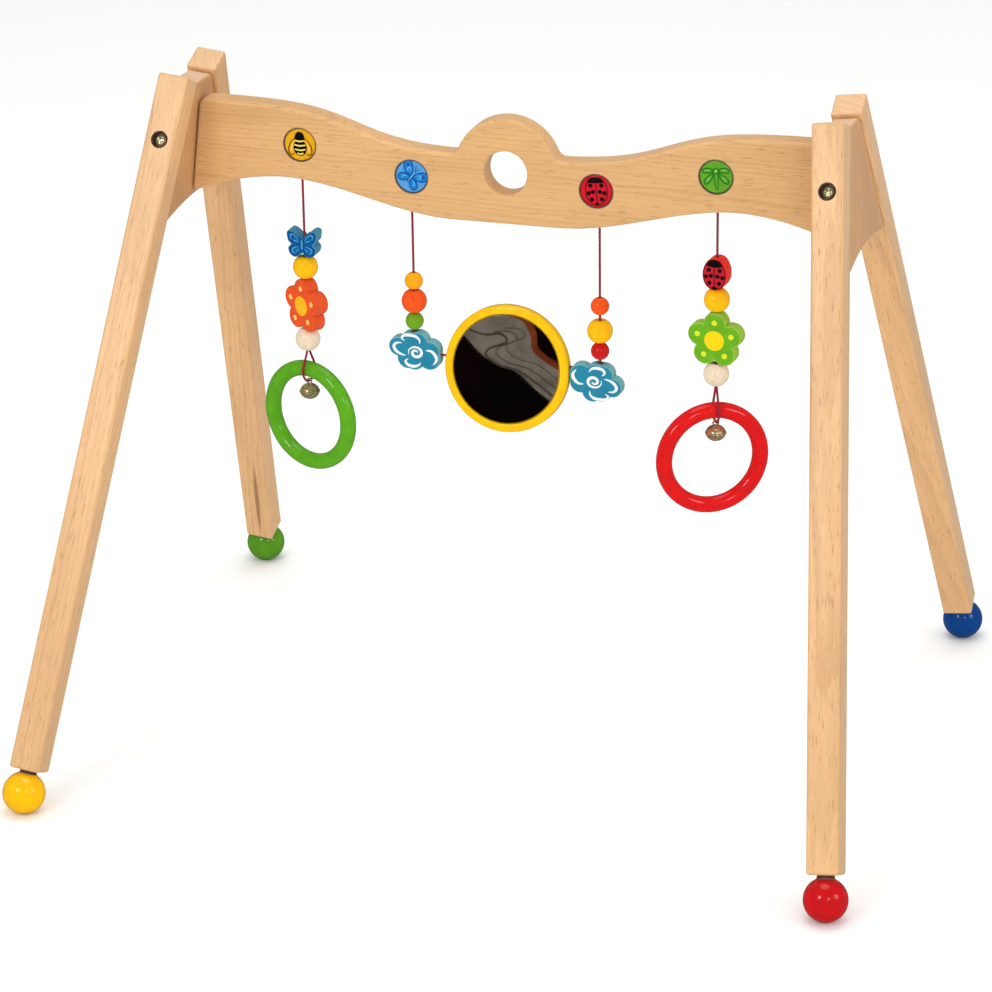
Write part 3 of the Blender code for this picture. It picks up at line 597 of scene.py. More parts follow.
def straight_route(joint, node):
    """From where the cord bends down to its end in the cloud."""
    top = joint_at(joint)
    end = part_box(node)[0].z
    return [(top.x, top.y, top.z + (end - top.z) * i / 20) for i in range(21)]


left_route = straight_route("row_side_swing", "left_inner_cord")
right_route = straight_route("right_inner_side_swing", "right_inner_cord")
cord("left_inner_cord", left_route)
cord("right_inner_cord", right_route)
for link in ("left_mirror_link", "right_mirror_link"):
    low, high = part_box(link)
    level = (low.z + high.z) / 2
    link_route = [(low.x + (high.x - low.x) * i / 6, 0, level) for i in range(7)]
    put(line_tube(link + "_twist", link_route, CORD_RADIUS), link, cord_look)

# ---------------------------------------------------------------- stand

SPLAY = math.radians(6.55)
LEAN = math.radians(24.4)
BALL_RADIUS = 15.0 * MM
BALL_HEIGHT = 14.31 * MM
NECK_RADIUS = 6.0 * MM
NECK_AT = 16.0 * MM
LEG_WOOD = srgb(229, 182, 128)
BAR_WOOD = srgb(224, 176, 117)
BLOCK_WOOD = srgb(210, 154, 92)


def cad_copy(node, name):
    """A CAD node's own shape, joined up and smoothly shaded."""
    shape = bmesh.new()
    shape.from_mesh(frame["nodes"][node].data)
    bmesh.ops.remove_doubles(shape, verts=shape.verts, dist=MERGE)
    bmesh.ops.dissolve_limit(
        shape, angle_limit=math.radians(0.6), verts=shape.verts, edges=shape.edges
    )
    return even_light(finished(name, shape, 34))


def ball_centre(foot):
    """The middle of a ball foot: its outer sides are a radius away, whichever way its peg leans."""
    low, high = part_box(foot)
    x = low.x + BALL_RADIUS if low.x < 0 else high.x - BALL_RADIUS
    y = low.y + BALL_RADIUS if low.y + high.y < 0 else high.y - BALL_RADIUS
    return Vector((x, y, BALL_HEIGHT))


LEGS = {
    # name: (front or back, ring line's place across the leg, tilt of the grain, ring width, figure, streak)
    "front_left": (-1, (-34, 22), (0.6, -0.4), 2.6, 0.50, None),
    "front_right": (-1, (6, 40), (2.6, 0.5), 4.6, 0.55, None),
    "back_left": (1, (30, 18), (-0.5, 0.8), 3.2, 0.42, ((2, -11, 60), (2.4, 6, 58))),
    "back_right": (1, (-12, -38), (2.2, -0.8), 4.0, 0.45, None),
}
# colour of a dark wood that paints shade: in the gap under each leg's end and in the counterbore round each
# screw's head
PEG_SHADE_WOOD = srgb(92, 52, 24)
SCREW_AT = 464.0 * MM  # from the ball's middle, along the leg
SCREW_SEAT = 5.0 * MM  # from the leg's middle out to the screw head's seat
BALLS = {
    "front_left": YELLOW,
    "front_right": srgb(197, 9, 19),
    "back_left": srgb(84, 146, 28),
    "back_right": srgb(0, 62, 132),
}
SCREW_BORE_SHADE = [(4.8, 0), (6.15, 0), (6.15, 5.4), (6.0, 5.4), (6.0, 0.4), (4.8, 0.4)]
SCREW_BORE_SHADE = [(x * MM, z * MM) for x, z in SCREW_BORE_SHADE]  # the dark lining round a screw's head, a painted shade in its counterbore
painted_shade_wood = wood("painted_shade_peg_wood", (0, 0, 0), (0, 0, 0), PEG_SHADE_WOOD, 1.5 * MM, 0.05, 0.4)
for place_name, (front, pith, tilt, ring, figure, streak) in LEGS.items():
    sign = -1 if "left" in place_name else 1
    foot_node = place_name + "_foot"
    ball = ball_centre(foot_node)
    line = Matrix.Rotation(-sign * SPLAY, 4, "Y") @ Matrix.Rotation(front * LEAN, 4, "X")
    base = Matrix.Translation(ball) @ line
    tilted = line @ Euler((math.radians(tilt[0]), math.radians(tilt[1]), 0)).to_matrix().to_4x4()
    origin = base @ Vector((pith[0] * MM, pith[1] * MM, 0))
    mark = None
    if streak:
        offset = tilted.inverted() @ line @ (Vector(streak[0]) * MM - Vector((*pith, 0)) * MM)
        mark = (tuple(offset), tuple(s * MM for s in streak[1]))
    timber = wood(
        place_name + "_leg_wood", tilted.to_euler(), origin, LEG_WOOD, ring * MM, 0.05, figure, mark
    )
    put(cad_copy(place_name + "_leg", place_name + "_leg_timber"), place_name + "_leg", timber)
    neck = math.degrees(math.acos(NECK_RADIUS / BALL_RADIUS))
    profile = [(0, NECK_AT), (NECK_RADIUS - 0.5 * MM, NECK_AT), (NECK_RADIUS, NECK_AT - 0.5 * MM)]
    profile += [(NECK_RADIUS, BALL_RADIUS * math.sin(math.radians(neck)) + 0.5 * MM)]
    profile += arc((0, 0), BALL_RADIUS, neck - 2.5, -90, 44)[:-1] + [(0, -BALL_RADIUS)]
    foot = turned(place_name + "_ball", profile, 72)
    foot.data.transform(base)
    shape = bmesh.new()
    shape.from_mesh(foot.data)
    cut = bmesh.ops.bisect_plane(
        shape, geom=shape.verts[:] + shape.edges[:] + shape.faces[:], plane_co=(0, 0, 0),
        plane_no=(0, 0, -1), clear_outer=True,
    )
    rim = [e for e in cut["geom_cut"] if isinstance(e, bmesh.types.BMEdge)]
    bmesh.ops.contextual_create(shape, geom=rim)
    shape.to_mesh(foot.data)
    shape.free()
    foot.data.shade_smooth()
    foot.data.set_sharp_from_angle(angle=math.radians(30))
    ball_lacquer = lacquer(place_name + "_ball_lacquer", BALLS[place_name], 0.2, 0.10, 0.6)
    put(foot, foot_node, ball_lacquer, painted_shade_wood)
    # the peg's neck between ball and leg takes the dark wood, a painted shade for the gap under the leg's end
    for polygon in foot.data.polygons:
        apart = (polygon.center - ball).length
        polygon.material_index = 1 if apart > BALL_RADIUS + 0.2 * MM else 0
    # a dark sleeve in the counterbore: painted shade of the recess
    sleeve = turned(place_name + "_screw_bore_shade", SCREW_BORE_SHADE, 48, closed=True)
    seat = Matrix.Translation((0, front * SCREW_SEAT, SCREW_AT))
    sleeve.data.transform(base @ seat @ Matrix.Rotation(-front * math.pi / 2, 4, "X"))
    goes_with(sleeve, place_name + "_leg", painted_shade_wood)

ALONG_X = (0, math.pi / 2, 0)
bar_look = wood("bar_wood", ALONG_X, (-0.32, 0.045, 0.30), BAR_WOOD, 3.2 * MM, 0.10, 0.42)
put(cad_copy("crossbar", "crossbar_timber"), "crossbar", bar_look)
for side, sign in (("left", -1), ("right", 1)):
    upright = (0, -sign * SPLAY, 0)
    at = middle(side + "_end_block")
    block_look = wood(
        side + "_block_wood", upright, at + Vector((0.02, 0.035 * sign, 0)), BLOCK_WOOD, 3.0 * MM, 0.08,
        0.45, ends=0.45
    )
    put(cad_copy(side + "_end_block", side + "_end_block_timber"), side + "_end_block", block_look)
    for level in ("upper", "lower"):
        node = f"{side}_{level}_dowel"
        dowel_look = wood(
            node + "_wood", ALONG_X, middle(node) + Vector((0, 0.004, 0.002)), srgb(196, 148, 98), 1.4 * MM
        )
        put(cad_copy(node, node + "_peg"), node, dowel_look)

zinc = metal("yellow_zinc", srgb(236, 226, 178), 0.24, srgb(176, 160, 110))
for place_name in LEGS:
    node = place_name + "_leg_screw"
    put(cad_copy(node, place_name + "_screw_plated"), node, zinc)

# ---------------------------------------------------------------- beads

ROUND_BEAD = (9.0 * MM, 8.1 * MM)  # radius and half height
SMALL_BEAD = (6.5 * MM, 6.2 * MM)
BORE = 1.35 * MM
LOOP_BORE = 2.3 * MM
CLOUD_BORE = 2.4 * MM  # wide enough for the cord to lean in it


def bead(node, size, material, bore=BORE):
    """A turned bead with eased, slightly dished ends round its bore."""
    radius, half = size
    tilt = math.degrees(math.asin(half / radius)) - 3
    shoulder = radius * math.cos(math.radians(tilt + 3))
    dish = half - 0.3 * MM
    ball = arc((0, 0), radius, tilt, -tilt, 37)
    ease = [(bore, dish - 0.35 * MM), (bore + 0.3 * MM, dish), (shoulder - 0.5 * MM, half - 0.05 * MM)]
    profile = ease + [(shoulder - 0.1 * MM, half)] * (shoulder - 0.5 * MM > bore + 0.4 * MM) + ball
    profile += [(x, -z) for x, z in reversed(ease)]
    obj = turned(node + "_turned", profile, 64, closed=True)
    obj.location = joint_at(node + "_spin")
    return put(obj, node, material)


yellow = lacquer("yellow_lacquer", YELLOW)
amber = lacquer("amber_lacquer", srgb(250, 170, 10))
orange = lacquer("orange_lacquer", srgb(242, 84, 20))
bead_red = lacquer("bead_red_lacquer", srgb(203, 22, 24))
bead_green = lacquer("bead_green_lacquer", srgb(112, 168, 24))
natural = wood("natural_bead_wood", (0, 0, 0), (0.02, 0.01, 0), srgb(244, 226, 200), 2.0 * MM, 0.05, 0.22)
for node, size, material, bore in (
    ("left_outer_round_bead", ROUND_BEAD, yellow, BORE),
    ("left_outer_natural_bead", ROUND_BEAD, natural, LOOP_BORE),
    ("left_inner_top_bead", SMALL_BEAD, amber, BORE),
    ("left_inner_round_bead", ROUND_BEAD, orange, BORE),
    ("left_inner_low_bead", SMALL_BEAD, bead_green, BORE),
    ("right_inner_top_bead", SMALL_BEAD, orange, BORE),
    ("right_inner_round_bead", ROUND_BEAD, yellow, BORE),
    ("right_inner_low_bead", SMALL_BEAD, bead_red, BORE),
    ("right_outer_round_bead", ROUND_BEAD, yellow, BORE),
    ("right_outer_natural_bead", ROUND_BEAD, natural, LOOP_BORE),
):
    bead(node, size, material, bore)

# ---------------------------------------------------------------- printed figures

INK_HIGH = 0.22 * MM


class Print:
    """Ink on a face in the XY plane: lines, dots and filled shapes, in millimetres."""

    def __init__(self):
        self.shape = bmesh.new()

    def line(self, points, width, taper=0.25, closed=False, per=8):
        """A line of that width, thinner at its ends unless it is closed."""
        route = [Vector((x * MM, y * MM, 0)) for x, y in curved(points, per, closed)]
        count = len(route)
        section = ((-1, 0), (-0.8, 0.8), (0, 1), (0.8, 0.8), (1, 0), (0, -1))
        rings = []
        for i, at in enumerate(route):
            before = route[i - 1] if closed or i else at
            after = route[(i + 1) % count] if closed or i < count - 1 else at
            along = (after - before).normalized()
            side = Vector((-along.y, along.x, 0))
            full = 1.0 if closed else taper + (1 - taper) * math.sin(math.pi * i / (count - 1)) ** 0.8
            half = width * MM / 2 * full
            rings.append([
                self.shape.verts.new(at + side * half * u + Vector((0, 0, INK_HIGH * v)))
                for u, v in section
            ])
        skin(self.shape, rings, closed)
        return self

    def fill(self, points, per=6, high=INK_HIGH):
        """A filled outline with an eased rim."""
        line = [Vector((x * MM, y * MM, 0)) for x, y in curved(points, per)]
        centre = sum(line, Vector()) / len(line)
        rings = []
        for share, z in ((1.0, -high), (1.0, high * 0.5), (0.95, high)):
            rings.append([
                self.shape.verts.new(centre + (p - centre) * share + Vector((0, 0, z))) for p in line
            ])
        skin(self.shape, rings)
        return self

    def dot(self, x, y, radius, high=INK_HIGH):
        return self.fill([(x + u, y + v) for u, v in arc((0, 0), radius, 0, 315, 8)], 4, high)

    def done(self, name, base, thick, both=True):
        """The print on the front of a plate, and on its back."""
        if both:
            whole = self.shape.verts[:] + self.shape.edges[:] + self.shape.faces[:]
            copy = bmesh.ops.duplicate(self.shape, geom=whole)
            back = [v for v in copy["geom"] if isinstance(v, bmesh.types.BMVert)]
            front = [v for v in self.shape.verts if v not in set(back)]
            bmesh.ops.transform(self.shape, matrix=Matrix.Translation((0, 0, thick / 2)), verts=front)
            over = Matrix.Scale(-1, 4, (0, 0, 1)) @ Matrix.Translation((0, 0, thick / 2))
            bmesh.ops.transform(self.shape, matrix=over, verts=back)
        else:
            lift = Matrix.Translation((0, 0, thick))
            bmesh.ops.transform(self.shape, matrix=lift, verts=self.shape.verts[:])
        obj = finished(name, self.shape, 50)
        obj.matrix_world = base
        return obj


def mirrored(points):
    return [(-x, y) for x, y in points]


def two_tone(obj, face, side):
    """The printed faces in one colour and the edge all round in another."""
    obj.data.materials.append(face)
    obj.data.materials.append(side)
    for polygon in obj.data.polygons:
        polygon.material_index = 0 if abs(polygon.normal.z) > 0.93 else 1
    return obj


def standing(place_at, turn=0):
    """A plate's place: upright, turned round its cord."""
    upright = Matrix.Rotation(math.radians(turn), 4, "Z") @ Matrix.Rotation(math.pi / 2, 4, "X")
    return Matrix.Translation(place_at) @ upright


def figure(node, outline, thick, rounding, face, side, bore=BORE):
    """A flat figure bead with its bore, and its place."""
    base = standing(joint_at(node + "_spin"), TURN[node])
    obj = plate(node + "_sawn", outline, thick, rounding)
    hollow(obj, bore, -0.04, 0.04, Matrix.Rotation(math.pi / 2, 4, "X"))
    two_tone(obj, face, side)
    obj.matrix_world = base
    put(obj, node)
    return base


FLOWER_THICK = 10.5 * MM
FIGURE_THICK = 12.2 * MM
CLOUD_THICK = 9.0 * MM
PETAL_REACH = 11.7
PETAL_RADIUS = 8.3
PETALS = [math.radians(90 + 72 * i) for i in range(5)]
FLOWER = [
    (PETAL_REACH * math.cos(a) * MM, PETAL_REACH * math.sin(a) * MM, PETAL_RADIUS * MM) for a in PETALS
]
for node, face, side, centre, dots in (
    ("orange_flower_bead", srgb(238, 82, 26), srgb(226, 84, 34), srgb(250, 186, 10), srgb(255, 206, 104)),
    ("green_flower_bead", srgb(106, 178, 26), srgb(150, 194, 62), srgb(250, 214, 0), srgb(222, 232, 40)),
):
    base = figure(
        node,
        lobed(FLOWER, 200),
        FLOWER_THICK,
        1.3 * MM,
        lacquer(node + "_face", face, 0.30, 0.10, 0.35),
        lacquer(node + "_side", side, 0.42, 0.28, 0.1),
    )
    heart = Print().dot(0, 0, 7.2).done(node.replace("bead", "centre"), base, FLOWER_THICK)
    goes_with(heart, node, ink(node + "_centre_ink", centre))
    spots = Print()
    for a in PETALS:
        spots.dot(12.9 * math.cos(a), 12.9 * math.sin(a), 2.0)
    spots = spots.done(node.replace("bead", "dots"), base, FLOWER_THICK)
    goes_with(spots, node, ink(node + "_dot_ink", dots))

WING = [(0, 5.6), (2.2, 6.2), (6.0, 9.6), (9.6, 11.2), (12.2, 9.4), (12.0, 5.4), (11.2, 2.2), (9.2, 0.0)]
WING += [(11.4, -3.0), (10.4, -7.6), (6.6, -10.4), (2.6, -9.4), (0, -7.0)]
BUTTERFLY = [(x * 0.92 * MM, y * 0.92 * MM) for x, y in WING]
BUTTERFLY += mirrored(reversed(BUTTERFLY[1:-1]))
base = figure(
    "butterfly_bead",
    curved(BUTTERFLY, 8),
    FIGURE_THICK,
    1.0 * MM,
    lacquer("butterfly_face", srgb(0, 94, 158), 0.3, 0.10, 0.15),
    lacquer("butterfly_side", srgb(62, 134, 164), 0.55, 0.25, 0.1),
)
veins = Print()
shadows = Print()
UPPER = [(1.3, 2.6), (4.0, 6.6), (7.6, 8.6), (9.6, 7.4), (9.0, 4.0), (6.0, 1.4), (1.4, 0.6)]
LOWER = [(1.3, -0.6), (5.4, -1.0), (8.6, -3.0), (8.2, -6.2), (5.2, -7.8), (2.4, -5.8), (1.2, -3.0)]
for flip in (list, mirrored):
    veins.line(flip([(2.0, 3.0), (4.4, 5.9), (7.3, 7.5), (8.4, 6.2), (7.6, 3.8)]), 1.0)
    veins.line(flip([(2.4, -1.4), (5.2, -2.0), (7.2, -3.6), (6.8, -5.8), (4.8, -6.6)]), 1.0)
    veins.line(flip([(2.6, 2.0), (4.6, 2.6), (6.2, 3.2)]), 0.9)
    veins.line(flip([(2.2, -3.0), (3.4, -4.2), (4.4, -5.0)]), 0.8)
    shadows.line(flip([(x * 1.06, y * 1.04) for x, y in UPPER]), 0.9)
    shadows.line(flip([(x * 1.06, y * 1.06) for x, y in LOWER]), 0.9)
    shadows.dot(*flip([(6.4, 5.6)])[0], 0.9)
    shadows.line(flip([(0.5, 4.4), (1.2, 5.4), (2.4, 6.0)]), 0.7)
veins.line([(0, 3.4), (0, 0), (0, -3.6)], 1.5, 0.5)
shadows.line([(-1.3, 4.0), (-1.1, 0), (-0.7, -5.0)], 0.7)
shadows.line([(1.3, 4.0), (1.1, 0), (0.7, -5.0)], 0.7)
veins = veins.done("butterfly_lines", base, FIGURE_THICK)
goes_with(veins, "butterfly_bead", ink("butterfly_line_ink", srgb(66, 160, 210)))
shadows = shadows.done("butterfly_outlines", base, FIGURE_THICK)
goes_with(shadows, "butterfly_bead", ink("butterfly_dark_ink", srgb(0, 62, 132)))

LADYBIRD = [(0, 11.0), (4.6, 9.8), (7.9, 5.6), (9.3, 0.2), (8.4, -5.4), (5.2, -9.6), (0, -11.0)]
LADYBIRD = [(x * 0.94 * MM, y * 1.02 * MM) for x, y in LADYBIRD]
LADYBIRD += mirrored(reversed(LADYBIRD[1:-1]))
base = figure(
    "ladybird_bead",
    curved(LADYBIRD, 10),
    FIGURE_THICK,
    1.0 * MM,
    lacquer("ladybird_face", srgb(200, 18, 42), 0.3, 0.10, 0.35),
    lacquer("ladybird_side", srgb(242, 42, 20), 0.5, 0.25, 0.1),
)
DOTS = ((4.0, 3.3, 1.3), (5.9, -1.7, 1.2), (2.4, -1.0, 1.25), (3.5, -6.0, 1.25))
halo = Print()
black = Print()
for x, y, radius in DOTS:
    for turn in (-1, 1):
        halo.dot(turn * x, y, radius + 0.45, INK_HIGH * 0.6)
        black.dot(turn * x, y, radius)
EDGE = [(0, 10.6), (4.0, 9.4), (6.7, 5.4), (7.9, 0.2), (7.1, -5.4), (4.4, -9.2), (0, -10.6)]
halo.line(EDGE + mirrored(reversed(EDGE[1:-1])), 0.8, closed=True)
halo.line([(0, 5.6), (0, -2), (0, -9.4)], 0.9, 0.6)
HEAD = [(-5.8, 6.4), (-2.8, 5.5), (0, 5.2), (2.8, 5.5), (5.8, 6.4), (4.6, 8.7), (2.6, 10.2), (0, 10.8)]
black.fill([*HEAD, (-2.6, 10.2), (-4.6, 8.7)])
black.fill([(-2.2, -9.6), (0, -8.4), (2.2, -9.6), (0, -10.5)], 5)
halo = halo.done("ladybird_outline", base, FIGURE_THICK)
goes_with(halo, "ladybird_bead", ink("dark_red_ink", srgb(112, 8, 22)))
black_ink = ink("black_ink", srgb(14, 11, 12), 0.28)
goes_with(black.done("ladybird_spots", base, FIGURE_THICK), "ladybird_bead", black_ink)

CLOUD = [(-12.0, 2.8, 7.2), (-3.5, 6.0, 8.0), (2.5, 7.0, 7.6), (11.2, 0.8, 7.8), (10.8, -4.6, 8.4)]
CLOUD += [(-5.2, -5.6, 7.8), (-0.5, -5.8, 8.2)]
CLOUD = [tuple(v * MM for v in circle) for circle in CLOUD]
cloud_face = lacquer("cloud_face", srgb(34, 134, 164), 0.32, 0.14, 0.2)
cloud_side = lacquer("cloud_side", srgb(112, 172, 178), 0.45, 0.25, 0.1)
white_ink = ink("white_ink", srgb(232, 240, 240))
SWIRL = []
for i in range(15):
    turn = i / 14
    angle = math.radians(200 - 560 * turn)
    reach = 1.0 - 0.80 * turn
    SWIRL.append((1.2 + 5.9 * reach * math.cos(angle), -0.8 + 5.0 * reach * math.sin(angle)))
for side, sign, bore_node in (("left", -1, "left_inner_cord"), ("right", 1, "right_inner_cord")):
    node = side + "_cloud_bead"
    outline = lobed([(-sign * x, -sign * y, r) for x, y, r in CLOUD], 240)
    spread = [(min(p[k] for p in outline) + max(p[k] for p in outline)) / 2 for k in (0, 1)]
    heart = middle(node) - Vector((spread[0], 0, spread[1]))
    obj = plate(node + "_sawn", outline, CLOUD_THICK, 1.2 * MM)
    across = (middle(bore_node) - heart).x
    upward = Matrix.Rotation(-math.pi / 2, 4, "X")
    hollow(obj, CLOUD_BORE, -0.002, 0.04, Matrix.Translation((across, 0, 0)) @ upward)
    two_tone(obj, cloud_face, cloud_side)
    base = standing(heart)
    obj.matrix_world = base
    put(obj, node)
    swirls = Print()
    for points, width in (
        ([(-7.0, 7.6), (-9.2, 9.4), (-7.4, 11.7), (-3.4, 12.1), (1.1, 11.5), (3.9, 9.2), (4.2, 6.2)], 2.3),
        ([(-9.2, 5.9), (-13.2, 5.5), (-15.3, 2.7), (-13.4, -0.7), (-9.8, -2.7), (-6.4, -3.3)], 2.3),
        ([(8.5, 1.6), (12.8, 1.2), (15.9, -2.1), (16.4, -5.4), (13.9, -8.9)], 2.5),
        ([(-4.5, -5.6), (-6.8, -7.6), (-5.0, -10.2), (-0.8, -11.1), (2.8, -10.1), (4.7, -7.8)], 2.3),
        (SWIRL, 2.3),
    ):
        swirls.line([(-sign * x, -sign * y) for x, y in points], width, 0.12, per=6)
    goes_with(swirls.done(side + "_cloud_swirls", base, CLOUD_THICK), node, white_ink)

# ---------------------------------------------------------------- discs in the bar

DISC_RADIUS = 11.5 * MM
DISC_THICK = 3.0 * MM
SEAT_RADIUS = 12.5 * MM
GROOVE = 0.5 * MM
# dark brown wood for a ring in each disc's seat: painted shade of the gap round the disc
gap_shade_look = wood("painted_gap_shade_wood", (0, 0, 0), (0, 0, 0), srgb(64, 34, 18), 1.5 * MM, 0.05, 0.4)


def disc(node, colour, turn=0):
    """A lacquered disc with an eased edge in its seat, with a dark ring in the gap round it that paints the gap's
    shade, and its place.
    """
    low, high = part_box(node)
    at = Vector(((low.x + high.x) / 2, high.y, (low.z + high.z) / 2))
    edge = arc((DISC_RADIUS - 0.9 * MM, DISC_THICK - 0.9 * MM), 0.9 * MM, 90, 0, 7)
    profile = [(0, DISC_THICK), *edge, (DISC_RADIUS, 0.2 * MM), (DISC_RADIUS - 0.2 * MM, 0), (0, 0)]
    obj = turned(node + "_turned", profile, 80)
    base = standing(at)
    obj.matrix_world = base
    put(obj, node, lacquer(node + "_lacquer", colour, 0.22, 0.05, 0.6))
    # the dark ring in the gap between disc and seat is a painted shade
    lip = (SEAT_RADIUS - GROOVE, DISC_THICK - 0.2 * MM)
    rim = turned(node + "_seat_gap_shade", arc(lip, GROOVE - 0.02 * MM, 0, 345, 24), 80, closed=True)
    rim.matrix_world = base
    goes_with(rim, "crossbar", gap_shade_look)
    return base @ Matrix.Rotation(math.radians(turn), 4, "Z")


def printed(drawing, name, node, base, material):
    goes_with(drawing.done(name, base, DISC_THICK, both=False), node, material)


base = disc("bee_disc", srgb(228, 168, 8), 2)
HEAD = [(-3.7, 3.6), (0, 3.1), (3.7, 3.6), (3.4, 6.4), (2.2, 8.6), (0, 9.4), (-2.2, 8.6), (-3.4, 6.4)]
bee = Print().fill(HEAD)
bee.fill([(x * 4.9, y * 5.9 - 2.2) for x, y in arc((0, 0), 1, 0, 337.5, 16)], 4, INK_HIGH * 0.7)
printed(bee, "bee_body", "bee_disc", base, black_ink)
stripes = Print()
for y, half in ((2.6, 3.3), (-0.6, 4.2), (-3.8, 3.9), (-6.6, 2.3)):
    stripes.line([(-half, y + 0.5), (0, y - 0.2), (half, y + 0.5)], 1.35, 0.75)
printed(stripes, "bee_stripes", "bee_disc", base, ink("bee_stripe_ink", srgb(250, 226, 96)))
wings = Print()
shine = Print()
for flip in (list, mirrored):
    wings.line(flip([(3.9, 4.4), (6.4, 2.2), (8.4, -2.2), (8.3, -6.2), (6.2, -7.6), (4.6, -6.2)]), 0.9, 0.5)
    shine.line(flip([(5.4, 0.6), (6.6, -2.4), (6.2, -5.2)]), 0.8)
printed(wings, "bee_wings", "bee_disc", base, ink("bee_wing_ink", srgb(112, 62, 6)))
printed(shine, "bee_wing_shine", "bee_disc", base, ink("bee_shine_ink", srgb(250, 216, 140)))

UPPER = [(0.9, 1.2), (3.2, 6.2), (7.0, 8.6), (9.8, 6.6), (8.9, 2.6), (5.0, 0.0)]
LOWER = [(0.9, -0.4), (5.2, -1.2), (8.0, -3.8), (6.6, -7.2), (3.2, -6.4), (1.0, -3.2)]
base = disc("butterfly_disc", srgb(84, 156, 218), -38)
shape = Print()
lines = Print()
light = Print()
for flip in (list, mirrored):
    shape.fill(flip(UPPER), high=INK_HIGH * 0.5).fill(flip(LOWER), high=INK_HIGH * 0.5)
    lines.line(flip(UPPER), 0.85, closed=True, per=6).line(flip(LOWER), 0.85, closed=True, per=6)
    lines.dot(*flip([(7.0, 5.4)])[0], 1.1)
    light.line(flip([(2.4, 2.6), (4.6, 4.6), (5.6, 3.0), (4.0, 1.2)]), 0.8)
    light.line(flip([(2.6, -2.0), (5.0, -3.2), (4.8, -5.2)]), 0.8)
    lines.line(flip([(0.3, 4.0), (0.9, 6.6), (2.0, 8.4)]), 0.6)
light.line([(0, 2.6), (0, 0), (0, -3.6)], 0.9, 0.45)
lines.line([(-0.9, 3.4), (-0.9, -0.6), (-0.4, -5.4)], 0.7, 0.45)
lines.line([(0.9, 3.4), (0.9, -0.6), (0.4, -5.4)], 0.7, 0.45)
BLUES = (srgb(22, 122, 196), srgb(0, 78, 160), srgb(110, 190, 232))
printed(shape, "butterfly_disc_wings", "butterfly_disc", base, ink("wing_blue_ink", BLUES[0]))
printed(lines, "butterfly_disc_lines", "butterfly_disc", base, ink("deep_blue_ink", BLUES[1]))
printed(light, "butterfly_disc_light", "butterfly_disc", base, ink("pale_blue_ink", BLUES[2]))

base = disc("ladybird_disc", srgb(206, 16, 38), 5)
BODY = [(0, 9.8), (4.2, 8.6), (6.9, 4.6), (7.7, -0.2), (6.7, -5.0), (4.0, -8.6), (0, -10.0)]
outline = Print().line(BODY + mirrored(reversed(BODY[1:-1])), 0.95, closed=True)
outline.line([(0, 5.6), (0, -2), (0, -9.0)], 0.9, 0.6)
HEAD = [(-5.8, 6.2), (-3.0, 5.8), (0, 5.7), (3.0, 5.8), (5.8, 6.2), (4.2, 8.8), (0, 10.0), (-4.2, 8.8)]
spots = Print().fill(HEAD)
spots.fill([(-1.2, -9.2), (0, -7.8), (1.2, -9.2), (0, -9.8)], 5)
for x, y in ((4.0, 4.0), (5.6, -1.4), (2.5, -0.5), (3.6, -5.8)):
    for turn in (-1, 1):
        spots.dot(turn * x, y, 1.3)
        outline.dot(turn * x, y, 1.65, INK_HIGH * 0.6)
printed(outline, "ladybird_disc_outline", "ladybird_disc", base, ink("deep_red_ink", srgb(120, 6, 18)))
printed(spots, "ladybird_disc_spots", "ladybird_disc", base, black_ink)

base = disc("dragonfly_disc", srgb(98, 166, 40), 4)
lines = Print().line(arc((0, 4.0), 1.9, 0, 315, 8), 1.0, closed=True, per=4)
UPPER = [(1.6, 4.2), (4.6, 6.0), (8.6, 5.4), (9.0, 3.2), (5.4, 2.8)]
LOWER = [(1.8, 2.2), (5.0, 0.8), (8.4, -2.6), (7.6, -5.0), (4.0, -2.8)]
pale = Print()
for flip in (list, mirrored):
    lines.line(flip([(1.4, 2.4), (1.3, -1.0), (1.1, -5.0), (0.5, -9.2)]), 0.95, 0.6)
    lines.line(flip(UPPER), 1.05, closed=True, per=6)
    lines.line(flip(LOWER), 1.05, closed=True, per=6)
    pale.line(flip([(3.6, 4.4), (5.4, 4.6), (7.4, 4.4)]), 0.7)
    pale.line(flip([(4.2, 0.2), (5.8, -1.4), (6.8, -3.2)]), 0.7)
pale.dot(0, 4.2, 1.1)
dark_green = ink("dark_green_ink", srgb(28, 124, 26))
pale_green = ink("pale_green_ink", srgb(138, 204, 82))
printed(lines, "dragonfly_disc_lines", "dragonfly_disc", base, dark_green)
printed(pale, "dragonfly_disc_light", "dragonfly_disc", base, pale_green)

# ---------------------------------------------------------------- rings and bells

RING_RADIUS = 35.2 * MM
RING_TUBE = 5.7 * MM


def ring(node, colour):
    """A wooden ring, a shade flatter on its two faces than a true torus."""
    low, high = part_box(node)
    major, minor = 168, 36
    shape = bmesh.new()
    rows = []
    for i in range(major):
        around = 2 * math.pi * i / major
        row = []
        for j in range(minor):
            a = 2 * math.pi * j / minor
            across = RING_TUBE * math.cos(a)
            deep = RING_TUBE * math.copysign(abs(math.sin(a)) ** 0.94, math.sin(a))
            reach = RING_RADIUS + across
            row.append(shape.verts.new((reach * math.cos(around), reach * math.sin(around), deep)))
        rows.append(row)
    for i in range(major):
        for j in range(minor):
            first, second, k = rows[i], rows[(i + 1) % major], (j + 1) % minor
            shape.faces.new((first[j], second[j], second[k], first[k]))
    obj = finished(node + "_turned", shape)
    obj.matrix_world = standing((low + high) / 2, TURN[node])
    return put(obj, node, lacquer(node + "_lacquer", colour, 0.22, 0.20, 0.7))


ring("green_ring", GREEN)
ring("red_ring", srgb(220, 14, 18))

